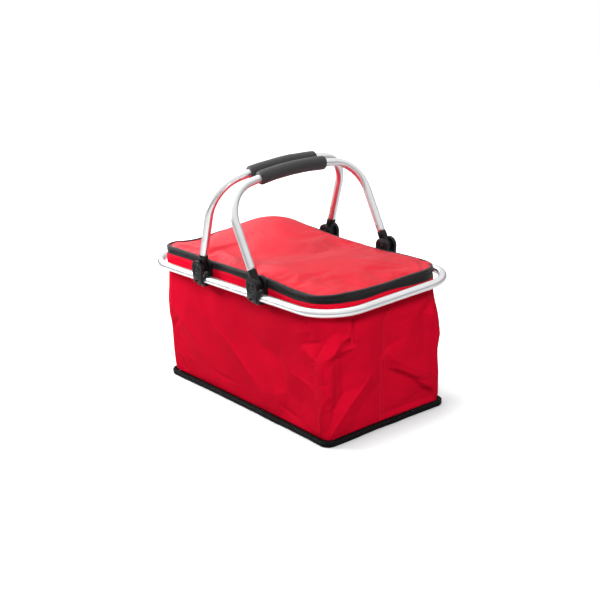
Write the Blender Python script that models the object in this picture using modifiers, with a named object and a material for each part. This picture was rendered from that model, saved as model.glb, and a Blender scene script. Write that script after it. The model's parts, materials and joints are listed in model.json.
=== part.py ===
"""Collapsible insulated shopping basket: an aluminium rim and two swing handles on
clamp brackets, carrying a zipped, foam-lined fabric tub on a stiff base.

Frame: X along the basket (left is -X), Y across it (front is -Y), +Z up. The origin is
the middle of the underside, so the basket stands on Z = 0. Lengths are metres.
"""

import math
from typing import NamedTuple

import bmesh
import bpy
from mathutils import Matrix, Vector


class Footprint(NamedTuple):
    """A rounded rectangle in plan, centred on the Z axis."""

    half_length: float
    half_width: float
    corner: float

    def inset(self, distance, corner_less=None):
        """A smaller footprint. Its corner radius shrinks by corner_less, or by the distance."""
        if corner_less is None:
            corner_less = distance
        return Footprint(
            self.half_length - distance, self.half_width - distance, self.corner - corner_less
        )


# ---------------------------------------------------------------- driving sizes
GAP = 0.0003  # clearance between neighbouring pieces

# frame
TUBE_RADIUS, TUBE_WALL = 0.0065, 0.0010  # outside radius of every frame tube
RIM = Footprint(0.2335, 0.1335, 0.065)  # of the rim tube's centreline
RIM_Z = 0.2100
PIVOT_X, PIVOT_Z = 0.0700, 0.2278
PIN_RADIUS = 0.0030

# fabric tub, from the ground up
BASE = Footprint(0.2085, 0.1065, 0.016)
MOUTH = Footprint(0.2130, 0.1218, 0.046)
TAPE = MOUTH.inset(0.0006)  # of the zip tape and the lid
WALL_TOP = 0.2050
BAND_LOW, BAND_TOP, BAND_THICK = 0.2055, 0.2185, 0.0040
TAPE_LOW, TAPE_SPLIT = 0.2188, 0.2282
LID_Z = 0.2365
SHELL_THICK, FOAM_THICK, LINING_THICK = 0.0010, 0.0036, 0.0006

# ---------------------------------------------------------------- scene
for old in list(bpy.data.objects):
    bpy.data.objects.remove(old, do_unlink=True)

scene = bpy.context.scene
parts = bpy.data.collections.new("cooler_basket")
cutters = bpy.data.collections.new("cutters")
scene.collection.children.link(parts)
scene.collection.children.link(cutters)


# ---------------------------------------------------------------- materials
def material(name, colour, roughness, metallic=0.0):
    made = bpy.data.materials.new(name)
    made.use_nodes = True
    shader = made.node_tree.nodes["Principled BSDF"]
    shader.inputs["Base Color"].default_value = (*colour, 1.0)
    shader.inputs["Roughness"].default_value = roughness
    shader.inputs["Metallic"].default_value = metallic
    made.diffuse_color = (*colour, 1.0)
    return made


ALUMINIUM = material(
    "satin_aluminium", colour=(0.80, 0.80, 0.80), roughness=0.32, metallic=1.0
)
STEEL = material("zinc_steel", colour=(0.55, 0.55, 0.56), roughness=0.35, metallic=1.0)
BLACK_PLASTIC = material("black_plastic", colour=(0.018, 0.018, 0.020), roughness=0.42)
FOAM_GRIP = material("black_foam_grip", colour=(0.030, 0.029, 0.031), roughness=0.62)
RED = material("red_polyester", colour=(0.62, 0.010, 0.030), roughness=0.72)
BLACK_WEB = material("black_binding", colour=(0.012, 0.012, 0.013), roughness=0.80)
FOAM = material("white_foam", colour=(0.85, 0.85, 0.83), roughness=0.90)
FOIL = material("silver_lining", colour=(0.70, 0.71, 0.72), roughness=0.30, metallic=0.6)
BOARD = material("base_board", colour=(0.20, 0.20, 0.21), roughness=0.70)


# ---------------------------------------------------------------- objects and modifiers
def put(name, mesh, mat=None, parent=None):
    """A new object holding this mesh: a part if it has a material, otherwise a hidden
    helper that booleans add or cut away."""
    obj = bpy.data.objects.new(name, mesh)
    mesh.name = name
    if mat is None:
        cutters.objects.link(obj)
        obj.hide_render = True
        obj.display_type = "WIRE"
    else:
        parts.objects.link(obj)
        mesh.materials.append(mat)
    obj.parent = parent
    return obj


def axis_empty(name, location):
    empty = bpy.data.objects.new(name, None)
    parts.objects.link(empty)
    empty.location = location
    return empty


def modifier(obj, kind, name, **settings):
    made = obj.modifiers.new(name, kind)
    for key, value in settings.items():
        setattr(made, key, value)


def boolean(obj, other, operation="DIFFERENCE"):
    modifier(
        obj, "BOOLEAN", operation.lower(), operation=operation, object=other, solver="EXACT"
    )


def thicken_inward(obj, name, thickness):
    modifier(
        obj, "SOLIDIFY", name, thickness=thickness, offset=-1.0, use_even_offset=True
    )


def shade(obj, angle=35.0):
    """Smooth shading, with edges sharper than this many degrees kept crisp."""
    obj.data.shade_smooth()
    obj.data.set_sharp_from_angle(angle=math.radians(angle))


# ---------------------------------------------------------------- meshes
def edit(mesh):
    work = bmesh.new()
    work.from_mesh(mesh)
    return work


def finish(work, mesh=None):
    """Writes an edited shape to its mesh, or to a new one."""
    if mesh is None:
        mesh = bpy.data.meshes.new("piece")
    work.to_mesh(mesh)
    work.free()
    return mesh


def poly_curve_mesh(points, cyclic, **settings):
    """The welded mesh of a poly curve through these points."""
    data = bpy.data.curves.new("path", "CURVE")
    for key, value in settings.items():
        setattr(data, key, value)
    spline = data.splines.new("POLY")
    spline.points.add(len(points) - 1)
    for node, point in zip(spline.points, points):
        node.co = (*point, 1.0)
    spline.use_cyclic_u = cyclic
    obj = bpy.data.objects.new("path", data)
    scene.collection.objects.link(obj)
    bpy.context.view_layer.update()
    graph = bpy.context.evaluated_depsgraph_get()
    mesh = bpy.data.meshes.new_from_object(obj.evaluated_get(graph))
    bpy.data.objects.remove(obj, do_unlink=True)
    work = edit(mesh)
    bmesh.ops.remove_doubles(work, verts=work.verts, dist=0.00002)
    bmesh.ops.recalc_face_normals(work, faces=work.faces)
    return finish(work, mesh)


def rod_mesh(points, radius, resolution, cyclic=False):
    """A round skin swept along these points, open at its ends."""
    return poly_curve_mesh(
        points,
        cyclic,
        dimensions="3D",
        bevel_depth=radius,
        bevel_resolution=resolution,
        use_fill_caps=False,
    )


def outline_mesh(points, thickness):
    """A flat outline in XY, filled and given this thickness about Z = 0."""
    flat = [(x, y, 0.0) for x, y in points]
    return poly_curve_mesh(
        flat, True, dimensions="2D", fill_mode="BOTH", extrude=thickness / 2
    )


def upright(mesh, x, y, z, side):
    """Stands an XY outline up in the XZ plane at (x, y, z), its underside to the given Y side."""
    turn = Matrix(((1, 0, 0, x), (0, 0, -side, y), (0, 1, 0, z), (0, 0, 0, 1)))
    mesh.transform(turn)
    if turn.determinant() < 0:
        mesh.flip_normals()
    return mesh


def move_between(work, start, end):
    """Moves a shape centred on Z so that its axis runs from start to end."""
    turn = Vector((0, 0, 1)).rotation_difference((end - start).normalized())
    place = Matrix.Translation((start + end) / 2) @ turn.to_matrix().to_4x4()
    bmesh.ops.transform(work, matrix=place, verts=work.verts)


def cylinder_mesh(radius, start, end, sides=16):
    """A capped cylinder between two points."""
    start, end = Vector(start), Vector(end)
    work = bmesh.new()
    bmesh.ops.create_cone(
        work,
        cap_ends=True,
        cap_tris=False,
        segments=sides,
        radius1=radius,
        radius2=radius,
        depth=(end - start).length,
    )
    move_between(work, start, end)
    return finish(work)


def y_cylinder_mesh(radius, x, y_start, y_end, z, sides=16):
    return cylinder_mesh(radius, (x, y_start, z), (x, y_end, z), sides)


def washer_mesh(inner, outer, start, end):
    """A flat ring between two points on its axis."""
    start, end = Vector(start), Vector(end)
    half = (end - start).length / 2
    work = bmesh.new()
    section = ((inner, 0, -half), (outer, 0, -half), (outer, 0, half), (inner, 0, half))
    corners = [work.verts.new(point) for point in section]
    for pair in zip(corners, corners[1:] + corners[:1]):
        work.edges.new(pair)
    bmesh.ops.spin(
        work,
        geom=list(work.verts) + list(work.edges),
        cent=(0, 0, 0),
        axis=(0, 0, 1),
        angle=2 * math.pi,
        steps=20,
        use_merge=True,
    )
    bmesh.ops.remove_doubles(work, verts=work.verts, dist=0.00001)
    bmesh.ops.recalc_face_normals(work, faces=work.faces)
    move_between(work, start, end)
    return finish(work)


def box_mesh(corner, opposite):
    """A box between two opposite corners, given in either order."""
    work = bmesh.new()
    bmesh.ops.create_cube(work, size=1.0)
    size = [abs(one - other) for one, other in zip(corner, opposite)]
    middle = [(one + other) / 2 for one, other in zip(corner, opposite)]
    bmesh.ops.scale(work, vec=size, verts=work.verts)
    bmesh.ops.translate(work, vec=middle, verts=work.verts)
    return finish(work)


def outward(mesh):
    """Turns a wall's faces to look away from the middle of the basket."""
    work = edit(mesh)
    centre = Vector((0.0, 0.0, 0.1))
    score = sum(
        (face.calc_center_median() - centre).dot(face.normal) * face.calc_area()
        for face in work.faces
    )
    if score < 0:
        bmesh.ops.reverse_faces(work, faces=work.faces)
    return finish(work, mesh)


def wall_mesh(rows, closed=True):
    """An open wall lofted through rows of points, each row with as many points as the next."""
    work = bmesh.new()
    loops = []
    for row in rows:
        made = [work.verts.new(point) for point in row]
        following = made[1:] + made[:1] if closed else made[1:]
        loops.append([work.edges.new(pair) for pair in zip(made, following)])
    for low, high in zip(loops[:-1], loops[1:]):
        bmesh.ops.bridge_loops(work, edges=low + high)
    bmesh.ops.recalc_face_normals(work, faces=work.faces)
    return outward(finish(work))


def close_end(mesh, pick):
    """Fills a wall's lowest loop (pick is min) or its highest (pick is max)."""
    work = edit(mesh)
    level = pick(vert.co.z for vert in work.verts)
    rim = [
        edge for edge in work.edges
        if all(abs(vert.co.z - level) < 1e-6 for vert in edge.verts)
    ]
    bmesh.ops.holes_fill(work, edges=rim, sides=0)
    bmesh.ops.recalc_face_normals(work, faces=work.faces)
    return outward(finish(work, mesh))


# ---------------------------------------------------------------- plan outlines
def rounded_rectangle(footprint, steps=6):
    """Points round a footprint, anticlockwise from the middle of its right end, with the
    middles of the two short ends as points of their own."""
    a, b, radius = footprint
    points = [(a, 0.0)]
    corners = (
        (a - radius, b - radius, 0),
        (radius - a, b - radius, 90),
        (radius - a, radius - b, 180),
        (a - radius, radius - b, 270),
    )
    for centre_x, centre_y, first in corners:
        if first == 180:
            points.append((-a, 0.0))
        for k in range(steps + 1):
            angle = math.radians(first + 90 * k / steps)
            points.append(
                (centre_x + radius * math.cos(angle), centre_y + radius * math.sin(angle))
            )
    return points


def rear_gap_path(footprint, steps, first_x, last_x):
    """Points from first_x on the rear side, round the left, front and right, to last_x on
    the rear side."""
    row = rounded_rectangle(footprint, steps)
    rear_left = steps + 2  # the first point of the rear left corner
    rear_y = footprint.half_width
    return [(first_x, rear_y)] + row[rear_left:] + row[:rear_left] + [(last_x, rear_y)]


def at_height(points, z):
    return [(x, y, z) for x, y in points]


# ---------------------------------------------------------------- shared kinds of piece
def tube(name, points, radius, wall, mat, parent=None):
    """A hollow round tube, open at both ends."""
    made = put(name, rod_mesh(points, radius, resolution=3), mat, parent)
    thicken_inward(made, "wall", wall)
    shade(made)
    return made


def sheet(name, mesh, thickness, mat):
    """A surface thickened inward from its outer face."""
    made = put(name, mesh, mat)
    thicken_inward(made, "sheet", thickness)
    shade(made)
    return made


def turned(name, profile, steps, mat, location, y_side=0, parent=None):
    """A turned piece: the profile (radius, height) screwed about Z. With a y_side of 1 or
    -1 its height runs along +Y or -Y instead of up."""
    work = bmesh.new()
    made = [work.verts.new((radius, 0.0, height)) for radius, height in profile]
    for pair in zip(made[:-1], made[1:]):
        work.edges.new(pair)
    obj = put(name, finish(work), mat, parent)
    modifier(
        obj,
        "SCREW",
        "turn",
        steps=steps,
        render_steps=steps,
        use_merge_vertices=True,
        merge_threshold=0.00002,
        use_smooth_shade=True,
    )
    obj.rotation_euler = (-y_side * math.pi / 2, 0, 0)
    obj.location = location


# ---------------------------------------------------------------- rim tube
# One tube bent round, open where its ends meet over an inner sleeve.
JOINT_X = -0.0765  # on the rear side, inside the rear left bracket
INNER_ROD_RADIUS = 0.0048  # of the solid pieces that plug into the tubes
SLEEVE_HALF = 0.022

rim_path = rear_gap_path(RIM, 7, JOINT_X - GAP, JOINT_X + GAP)
rim_tube = tube("rim_tube", at_height(rim_path, RIM_Z), TUBE_RADIUS, TUBE_WALL, ALUMINIUM)
rim_sleeve = put(
    "rim_joint_sleeve",
    cylinder_mesh(
        INNER_ROD_RADIUS,
        (JOINT_X - SLEEVE_HALF, RIM.half_width, RIM_Z),
        (JOINT_X + SLEEVE_HALF, RIM.half_width, RIM_Z),
        sides=12,
    ),
    ALUMINIUM,
)
shade(rim_sleeve)

# ---------------------------------------------------------------- brackets
# Each bracket is two halves clamped over the rim tube. Their round cheeks stand up on either
# side of the handle's eye, and a pin through both cheeks is the handle's pivot.
# CHEEK_IN, CHEEK_OUT and the saddle's and lip's reaches are distances from the rim's
# centreline across the basket.
CHEEK_RADIUS, CHEEK_IN, CHEEK_OUT = 0.0130, 0.0062, 0.0112
INNER_CHEEK_DROP, INNER_CHEEK_CHAMFER = 0.0115, 0.003
OUTER_CHEEK_DROP = 0.0057
SEAT_RADIUS, SEAT_DEPTH = 0.0056, 0.0018  # round recess in each cheek's face
GROOVE_INNER, GROOVE_OUTER, GROOVE_DEPTH = 0.0076, 0.0096, 0.0007
CUT_PAST = 0.004  # how far the face cutters stand proud of the cheek

SADDLE_NEAR, SADDLE_FAR = 0.00015, CHEEK_OUT - 0.0006
SADDLE_RISE = 0.0042
LIP_HALF, LIP_DROP, LIP_TOP_DROP = 0.0105, 0.0112, 0.0058
LIP_NEAR, LIP_FAR = 0.0050, CHEEK_OUT - 0.0008

SCREW_RADIUS = 0.0016
RIVET_RADIUS = 0.0016
HOLE_EASE = 0.0001  # a hole's radius over its pin, screw or rivet
RIVET_Z = RIM_Z + 0.0025
RIVET_TIP = 0.0075  # from the rim's centreline in to the rivet's tip
RIVET_HOLE_NEAR, RIVET_HOLE_FAR = 0.0072, 0.0250  # likewise, to the hole's two ends
PLATE_HALF, PLATE_THICK, PLATE_MARGIN = 0.0130, 0.0018, 0.0005

# Left foot of the outer cheek, from its outer side to the notch: x, height above the foot
OUTER_FOOT = (
    (-0.0108, 0.0072), (-0.0112, 0.0030), (-0.0096, 0.0004), (-0.0076, 0.0),
    (-0.0056, 0.0010), (-0.0046, 0.0038), (-0.0020, 0.0056),
)
# Turned profiles: radius, height along the axis
PIN_PROFILE = (
    (0.0, 0.0111), (0.0030, 0.0111), (0.0050, 0.0105), (0.0050, 0.0097),
    (PIN_RADIUS, 0.0097), (PIN_RADIUS, -0.0097),
    (0.0046, -0.0097), (0.0046, -0.0105), (0.0026, -0.0109), (0.0, -0.0109),
)
SCREW_PROFILE = (
    (0.0, 0.0070), (0.0008, 0.0070), (SCREW_RADIUS, 0.0058), (SCREW_RADIUS, 0.0),
    (0.0030, 0.0), (0.0027, -0.0014), (0.0012, -0.0020), (0.0, -0.0020),
)


def cheek_arc(first, last):
    """Points round the cheek's top, every 15 degrees."""
    angles = [math.radians(degrees) for degrees in range(first, last + 1, 15)]
    return [(CHEEK_RADIUS * math.cos(t), CHEEK_RADIUS * math.sin(t)) for t in angles]


def inner_cheek():
    """Outline of the inner cheek about the pivot, x across and y up: round top, straight sides."""
    bottom = RIM_Z - PIVOT_Z - INNER_CHEEK_DROP
    chamfer = INNER_CHEEK_CHAMFER
    return cheek_arc(0, 180) + [
        (-CHEEK_RADIUS, bottom + chamfer),
        (-CHEEK_RADIUS + chamfer, bottom),
        (CHEEK_RADIUS - chamfer, bottom),
        (CHEEK_RADIUS, bottom + chamfer),
    ]


def outer_cheek():
    """Outline of the outer cheek: a disc that narrows to two feet, with a notch between them."""
    foot = RIM_Z - PIVOT_Z - OUTER_CHEEK_DROP
    left = [(x, foot + height) for x, height in OUTER_FOOT]
    return cheek_arc(-15, 195) + left + [(-x, y) for x, y in reversed(left)]


def bracket_half(which, label, x, y, out, outline, saddle_half, saddle_drop):
    """One cheek and its saddle, facing along out. Its holes are not yet cut."""
    cheek = upright(
        outline_mesh(outline, CHEEK_OUT - CHEEK_IN),
        x,
        y + out * (CHEEK_IN + CHEEK_OUT) / 2,
        PIVOT_Z,
        out,
    )
    half = put("bracket_%s_%s" % (which, label), cheek, BLACK_PLASTIC)
    shade(half)
    # the saddle reaches in from the cheek and holds half of the rim tube
    saddle = box_mesh(
        (x - saddle_half, y + out * SADDLE_NEAR, RIM_Z - saddle_drop),
        (x + saddle_half, y + out * SADDLE_FAR, RIM_Z + SADDLE_RISE),
    )
    boolean(half, put("join_saddle_%s_%s" % (which, label), saddle), "UNION")
    return half


def cut_seat(half, which, label, x, face_y, out):
    """Sinks the round recess into a cheek's face, for the pin's head or tail."""
    seat = y_cylinder_mesh(
        SEAT_RADIUS, x, face_y - out * SEAT_DEPTH, face_y + out * CUT_PAST, PIVOT_Z, sides=20
    )
    boolean(half, put("cut_seat_%s_%s" % (which, label), seat))


def bracket_halves(label, x, y, side_y, screw_hole, rivet_hole):
    bore = put(
        "cut_bore_" + label,
        cylinder_mesh(TUBE_RADIUS + 0.00015, (x - 0.03, y, RIM_Z), (x + 0.03, y, RIM_Z)),
    )
    pin_hole = put(
        "cut_pin_" + label,
        y_cylinder_mesh(PIN_RADIUS + HOLE_EASE, x, y - 0.02, y + 0.02, PIVOT_Z),
    )

    out = side_y
    face_y = y + out * CHEEK_OUT
    outer = bracket_half("outer", label, x, y, out, outer_cheek(), 0.0098, 0.0018)
    boolean(outer, bore)
    boolean(outer, pin_hole)
    cut_seat(outer, "outer", label, x, face_y, out)
    groove = washer_mesh(
        GROOVE_INNER,
        GROOVE_OUTER,
        (x, face_y - out * GROOVE_DEPTH, PIVOT_Z),
        (x, face_y + out * CUT_PAST, PIVOT_Z),
    )
    boolean(outer, put("cut_groove_" + label, groove))

    out = -side_y
    inner = bracket_half("inner", label, x, y, out, inner_cheek(), 0.0122, 0.0085)
    # a lip of the inner half wraps under the tube to take the clamp screw
    lip = box_mesh(
        (x - LIP_HALF, y + out * LIP_FAR, RIM_Z - LIP_DROP),
        (x + LIP_HALF, y - out * LIP_NEAR, RIM_Z - LIP_TOP_DROP),
    )
    boolean(inner, put("join_lip_" + label, lip), "UNION")
    boolean(inner, bore)
    boolean(inner, pin_hole)
    cut_seat(inner, "inner", label, x, y + out * CHEEK_OUT, out)
    boolean(inner, screw_hole)
    boolean(inner, rivet_hole)


def backing_plate(label, x, side_y, rivet_hole):
    """Plate inside the mouth, and the rivet that draws the fabric against the bracket."""
    near = MOUTH.half_width - BAND_THICK - GAP
    far = near - PLATE_THICK
    plate = put(
        "backing_plate_" + label,
        box_mesh(
            (x - PLATE_HALF, side_y * near, BAND_LOW + PLATE_MARGIN),
            (x + PLATE_HALF, side_y * far, BAND_TOP - PLATE_MARGIN),
        ),
        BLACK_PLASTIC,
    )
    modifier(plate, "BEVEL", "edge", width=0.0006, segments=1)
    boolean(plate, rivet_hole)
    shank = RIM.half_width - RIVET_TIP - far
    profile = (
        (0.0, shank), (RIVET_RADIUS, shank), (RIVET_RADIUS, -GAP),
        (0.0032, -GAP), (0.0028, -0.0012), (0.0, -0.0016),
    )
    turned("band_rivet_" + label, profile, 10, STEEL, (x, side_y * far, RIVET_Z), side_y)


def bracket(label, side_x, side_y):
    """Everything at one corner. Returns the rivet's and the clamp screw's hole cutters."""
    x, y = side_x * PIVOT_X, side_y * RIM.half_width
    screw_hole = put(
        "cut_screw_" + label,
        cylinder_mesh(
            SCREW_RADIUS + HOLE_EASE, (x, y, RIM_Z - 0.02), (x, y, RIM_Z - 0.0010), sides=10
        ),
    )
    rivet_hole = put(
        "cut_rivet_" + label,
        y_cylinder_mesh(
            RIVET_RADIUS + HOLE_EASE,
            x,
            y - side_y * RIVET_HOLE_FAR,
            y - side_y * RIVET_HOLE_NEAR,
            RIVET_Z,
            sides=10,
        ),
    )
    bracket_halves(label, x, y, side_y, screw_hole, rivet_hole)
    boolean(rim_tube, screw_hole)
    # a headed rivet, its tail spread in the inner half's recess
    turned("pivot_pin_" + label, PIN_PROFILE, 16, BLACK_PLASTIC, (x, y, PIVOT_Z), side_y)
    # driven up through the lip into the rim tube
    screw_at = (x, y, RIM_Z - LIP_DROP - GAP)
    turned("clamp_screw_" + label, SCREW_PROFILE, 10, STEEL, screw_at)
    backing_plate(label, x, side_y, rivet_hole)
    return rivet_hole, screw_hole


rivet_holes = []
for label, side_x, side_y in (
    ("front_left", -1, -1),
    ("front_right", 1, -1),
    ("rear_left", -1, 1),
    ("rear_right", 1, 1),
):
    rivet_hole, screw_hole = bracket(label, side_x, side_y)
    rivet_holes.append(rivet_hole)
    if label == "rear_left":
        boolean(rim_sleeve, screw_hole)

# ---------------------------------------------------------------- handles
# Each handle is drawn upright in its own frame, whose origin is on the pivot axis, and
# then leaned over towards the middle by turning its empty about Y.
HANDLE_HEIGHT = 0.1585  # pivot to the middle of the handle's top
HANDLE_CORNER = 0.058
HANDLE_ARCH = math.radians(9.0)  # the top arc leaves each corner at this slope
LEAN_LEFT, LEAN_RIGHT = math.radians(19.5), math.radians(24.4)
TUBE_START = 0.0240  # the handle tube begins this far from the pivot
GRIP_RADIUS, GRIP_HALF, GRIP_WALL = 0.0109, 0.0655, 0.0037

EYE_RADIUS, EYE_HALF = 0.0088, 0.0044
BOSS_RADIUS, BOSS_HALF = 0.0056, 0.0059  # the eye is thicker round the pin, and fills the fork
NECK_HALF, NECK_TOP = 0.0062, TUBE_START - 0.0045
COLLAR_RADIUS, COLLAR_LOW = 0.0072, 0.0150
SPIGOT_LOW, SPIGOT_TOP = 0.0180, TUBE_START + 0.0200
DOWEL_RADIUS, DOWEL_LENGTH, DOWEL_Z = 0.0012, 0.0068, TUBE_START + 0.0100
DOWEL_PROFILE = (  # radius, height along the axis
    (0.0, DOWEL_LENGTH), (DOWEL_RADIUS, DOWEL_LENGTH), (DOWEL_RADIUS, -GAP),
    (0.0023, -GAP), (0.0019, -0.0009), (0.0, -0.0012),
)

TOP_REACH = RIM.half_width - HANDLE_CORNER + HANDLE_CORNER * math.sin(HANDLE_ARCH)
TOP_RADIUS = TOP_REACH / math.sin(HANDLE_ARCH)


def top_point(quarters):
    """Point of the top arc, this many quarters of the grip's half length from the middle."""
    angle = GRIP_HALF / TOP_RADIUS * quarters / 4
    drop = TOP_RADIUS * (1 - math.cos(angle))
    return (0.0, TOP_RADIUS * math.sin(angle), HANDLE_HEIGHT - drop)


def handle_path():
    """Centreline of the upright handle, from the front leg's end to the rear leg's end."""
    leg_y, radius = -RIM.half_width, HANDLE_CORNER
    sagitta = TOP_RADIUS * (1 - math.cos(HANDLE_ARCH))
    centre_z = HANDLE_HEIGHT - sagitta - radius * math.cos(HANDLE_ARCH)
    half = [(0.0, leg_y, TUBE_START), (0.0, leg_y, centre_z)]
    for k in range(1, 8):
        angle = math.pi - (math.pi / 2 - HANDLE_ARCH) * k / 7
        y = leg_y + radius + radius * math.cos(angle)
        half.append((0.0, y, centre_z + radius * math.sin(angle)))
    # the first of these lies just beyond the grip's end
    half += [top_point(quarters) for quarters in (-4.4, -3, -2, -1, 0)]
    return half + [(x, -y, z) for x, y, z in half[-2::-1]]


def handle_end(tag, side_y, handle_tube, root):
    """The eye on the pivot pin, plugged into the tube and riveted there."""
    y = side_y * RIM.half_width
    eye = put(
        "handle_end_" + tag,
        y_cylinder_mesh(EYE_RADIUS, 0, y - EYE_HALF, y + EYE_HALF, 0, sides=20),
        BLACK_PLASTIC,
        root,
    )
    shade(eye)
    joins = (
        ("boss", y_cylinder_mesh(BOSS_RADIUS, 0, y - BOSS_HALF, y + BOSS_HALF, 0)),
        ("neck", box_mesh((-NECK_HALF, y - EYE_HALF, 0.0), (NECK_HALF, y + EYE_HALF, NECK_TOP))),
        ("collar", cylinder_mesh(COLLAR_RADIUS, (0, y, COLLAR_LOW), (0, y, TUBE_START - GAP))),
        (
            "spigot",
            cylinder_mesh(INNER_ROD_RADIUS, (0, y, SPIGOT_LOW), (0, y, SPIGOT_TOP), sides=12),
        ),
    )
    for stem, mesh in joins:
        boolean(eye, put("join_%s_%s" % (stem, tag), mesh, parent=root), "UNION")
    bore = y_cylinder_mesh(PIN_RADIUS + 0.0002, 0, y - 0.02, y + 0.02, 0)
    boolean(eye, put("cut_eye_" + tag, bore, parent=root))
    pocket_mesh = y_cylinder_mesh(
        DOWEL_RADIUS + HOLE_EASE, 0, y - side_y * 0.0120, y + side_y * 0.0024, DOWEL_Z, sides=10
    )
    pocket = put("cut_dowel_" + tag, pocket_mesh, parent=root)
    boolean(eye, pocket)
    boolean(handle_tube, pocket)
    # its head sits on the side of the tube that faces the middle of the basket
    head_at = (0, y - side_y * TUBE_RADIUS, DOWEL_Z)
    turned("handle_rivet_" + tag, DOWEL_PROFILE, 10, STEEL, head_at, side_y, root)


def handle(label, side_x, lean):
    root = axis_empty("handle_%s_axis" % label, (side_x * PIVOT_X, 0.0, PIVOT_Z))
    root.rotation_euler = (0.0, -side_x * lean, 0.0)
    handle_tube = tube(
        "handle_tube_" + label, handle_path(), TUBE_RADIUS, TUBE_WALL, ALUMINIUM, root
    )
    grip_path = [top_point(quarters) for quarters in range(-4, 5)]
    tube("grip_" + label, grip_path, GRIP_RADIUS, GRIP_WALL, FOAM_GRIP, root)
    for end, side_y in (("front", -1), ("rear", 1)):
        handle_end("%s_%s" % (end, label), side_y, handle_tube, root)


handle("left", -1, LEAN_LEFT)
handle("right", 1, LEAN_RIGHT)

# ---------------------------------------------------------------- tub walls
# The wall is two U-shaped panels, sewn together down the middle of each short end, over
# foam panels cut the same way, with a welded lining inside.
SHELL_LOW, FOAM_LOW, LINING_LOW = 0.0102, 0.0108, 0.0135
UPPER_LEVELS = (0.075, 0.140, WALL_TOP)  # heights of the rows above the lowest
SEAM_HALF = 0.0002  # each panel stops this far from the middle of the end


def tub_row(z, inset):
    """The tub's outline at a height, drawn in from its outside."""
    share = z / WALL_TOP
    section = Footprint(*(base + (mouth - base) * share for base, mouth in zip(BASE, MOUTH)))
    return at_height(rounded_rectangle(section.inset(inset)), z)


def half_row(row, front):
    """The half of a closed row of points in front of or behind the two end seams."""
    middle = len(row) // 2  # the middle of the left end
    chosen = row[middle:] + row[:1] if front else row[: middle + 1]
    seam_y = -SEAM_HALF if front else SEAM_HALF
    return [(x, y or seam_y, z) for x, y, z in chosen]


def wall_panel(name, front, low, inset, thickness, mat):
    rows = [half_row(tub_row(z, inset), front) for z in (low, *UPPER_LEVELS)]
    sheet(name, wall_mesh(rows, closed=False), thickness, mat)


for side, front in (("front", True), ("rear", False)):
    wall_panel("shell_" + side, front, SHELL_LOW, 0.0, SHELL_THICK, RED)
    wall_panel("foam_" + side, front, FOAM_LOW, SHELL_THICK + GAP, FOAM_THICK, FOAM)

lining_inset = SHELL_THICK + FOAM_THICK + 2 * GAP
lining_rows = [tub_row(z, lining_inset) for z in (LINING_LOW, *UPPER_LEVELS)]
sheet("lining", close_end(wall_mesh(lining_rows), min), LINING_THICK, FOIL)

# ---------------------------------------------------------------- base
PIPING_RADIUS, PIPING_Z, PIPING_OUT = 0.0045, 0.0049, 0.0020

BASE_SLABS = (  # name, inset, corner radius less, underside, top, material
    ("bottom_panel", 0.0030, 0.003, 0.0, 0.0014, BLACK_WEB),
    ("base_board", 0.0035, 0.003, 0.0018, 0.0048, BOARD),
    ("foam_bottom", 0.0062, 0.005, 0.0052, 0.0130, FOAM),
)
for name, inset, corner_less, low, high, mat in BASE_SLABS:
    slab_outline = rounded_rectangle(BASE.inset(inset, corner_less), 5)
    slab_mesh = outline_mesh(slab_outline, high - low)
    slab_mesh.transform(Matrix.Translation((0, 0, (low + high) / 2)))
    put(name, slab_mesh, mat)

piping_path = at_height(rounded_rectangle(BASE.inset(-PIPING_OUT, 0.0), 5), PIPING_Z)
piping = put(
    "base_piping",
    rod_mesh(piping_path, PIPING_RADIUS, resolution=2, cyclic=True),
    BLACK_WEB,
)
shade(piping, 50)

# ---------------------------------------------------------------- the mouth and its zip
HINGE_HALF = 0.1180  # the zip stops short of the rear side, where the lid is sewn on
HINGE_END_GAP = 0.0008
TAPE_THICK, CHAIN_THICK = 0.0012, 0.0016
# heights above and below the middle of the zip
CHAIN_NEAR, CHAIN_FAR, TAPE_NEAR = 0.00015, 0.0017, 0.0020


def ring_wall(name, footprint, low, high, thickness, mat):
    """An upright wall all round."""
    rows = [at_height(rounded_rectangle(footprint), z) for z in (low, high)]
    return sheet(name, wall_mesh(rows), thickness, mat)


def zip_strip(name, low, high, thickness, mat):
    """An upright wall along the zip, open across the hinge."""
    path = rear_gap_path(TAPE, 6, -HINGE_HALF, HINGE_HALF)
    rows = [at_height(path, z) for z in (low, high)]
    sheet(name, wall_mesh(rows, closed=False), thickness, mat)


band = ring_wall("mouth_band", MOUTH, BAND_LOW, BAND_TOP, BAND_THICK, RED)
for rivet_hole in rivet_holes:
    boolean(band, rivet_hole)

ring_wall("zip_tape_lower", TAPE, TAPE_LOW, TAPE_SPLIT - TAPE_NEAR, TAPE_THICK, BLACK_WEB)
for name, low, high, thickness, mat in (
    ("zip_chain_lower", TAPE_SPLIT - CHAIN_FAR, TAPE_SPLIT - CHAIN_NEAR, CHAIN_THICK, BLACK_PLASTIC),
    ("zip_chain_upper", TAPE_SPLIT + CHAIN_NEAR, TAPE_SPLIT + CHAIN_FAR, CHAIN_THICK, BLACK_PLASTIC),
    ("zip_tape_upper", TAPE_SPLIT + TAPE_NEAR, LID_Z - GAP, TAPE_THICK, BLACK_WEB),
):
    zip_strip(name, low, high, thickness, mat)

hinge_end = HINGE_HALF - HINGE_END_GAP
put(
    "lid_hinge_strip",
    box_mesh(
        (-hinge_end, TAPE.half_width - TAPE_THICK, TAPE_SPLIT - CHAIN_FAR),
        (hinge_end, TAPE.half_width, LID_Z - 2 * GAP),
    ),
    BLACK_WEB,
)

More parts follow.
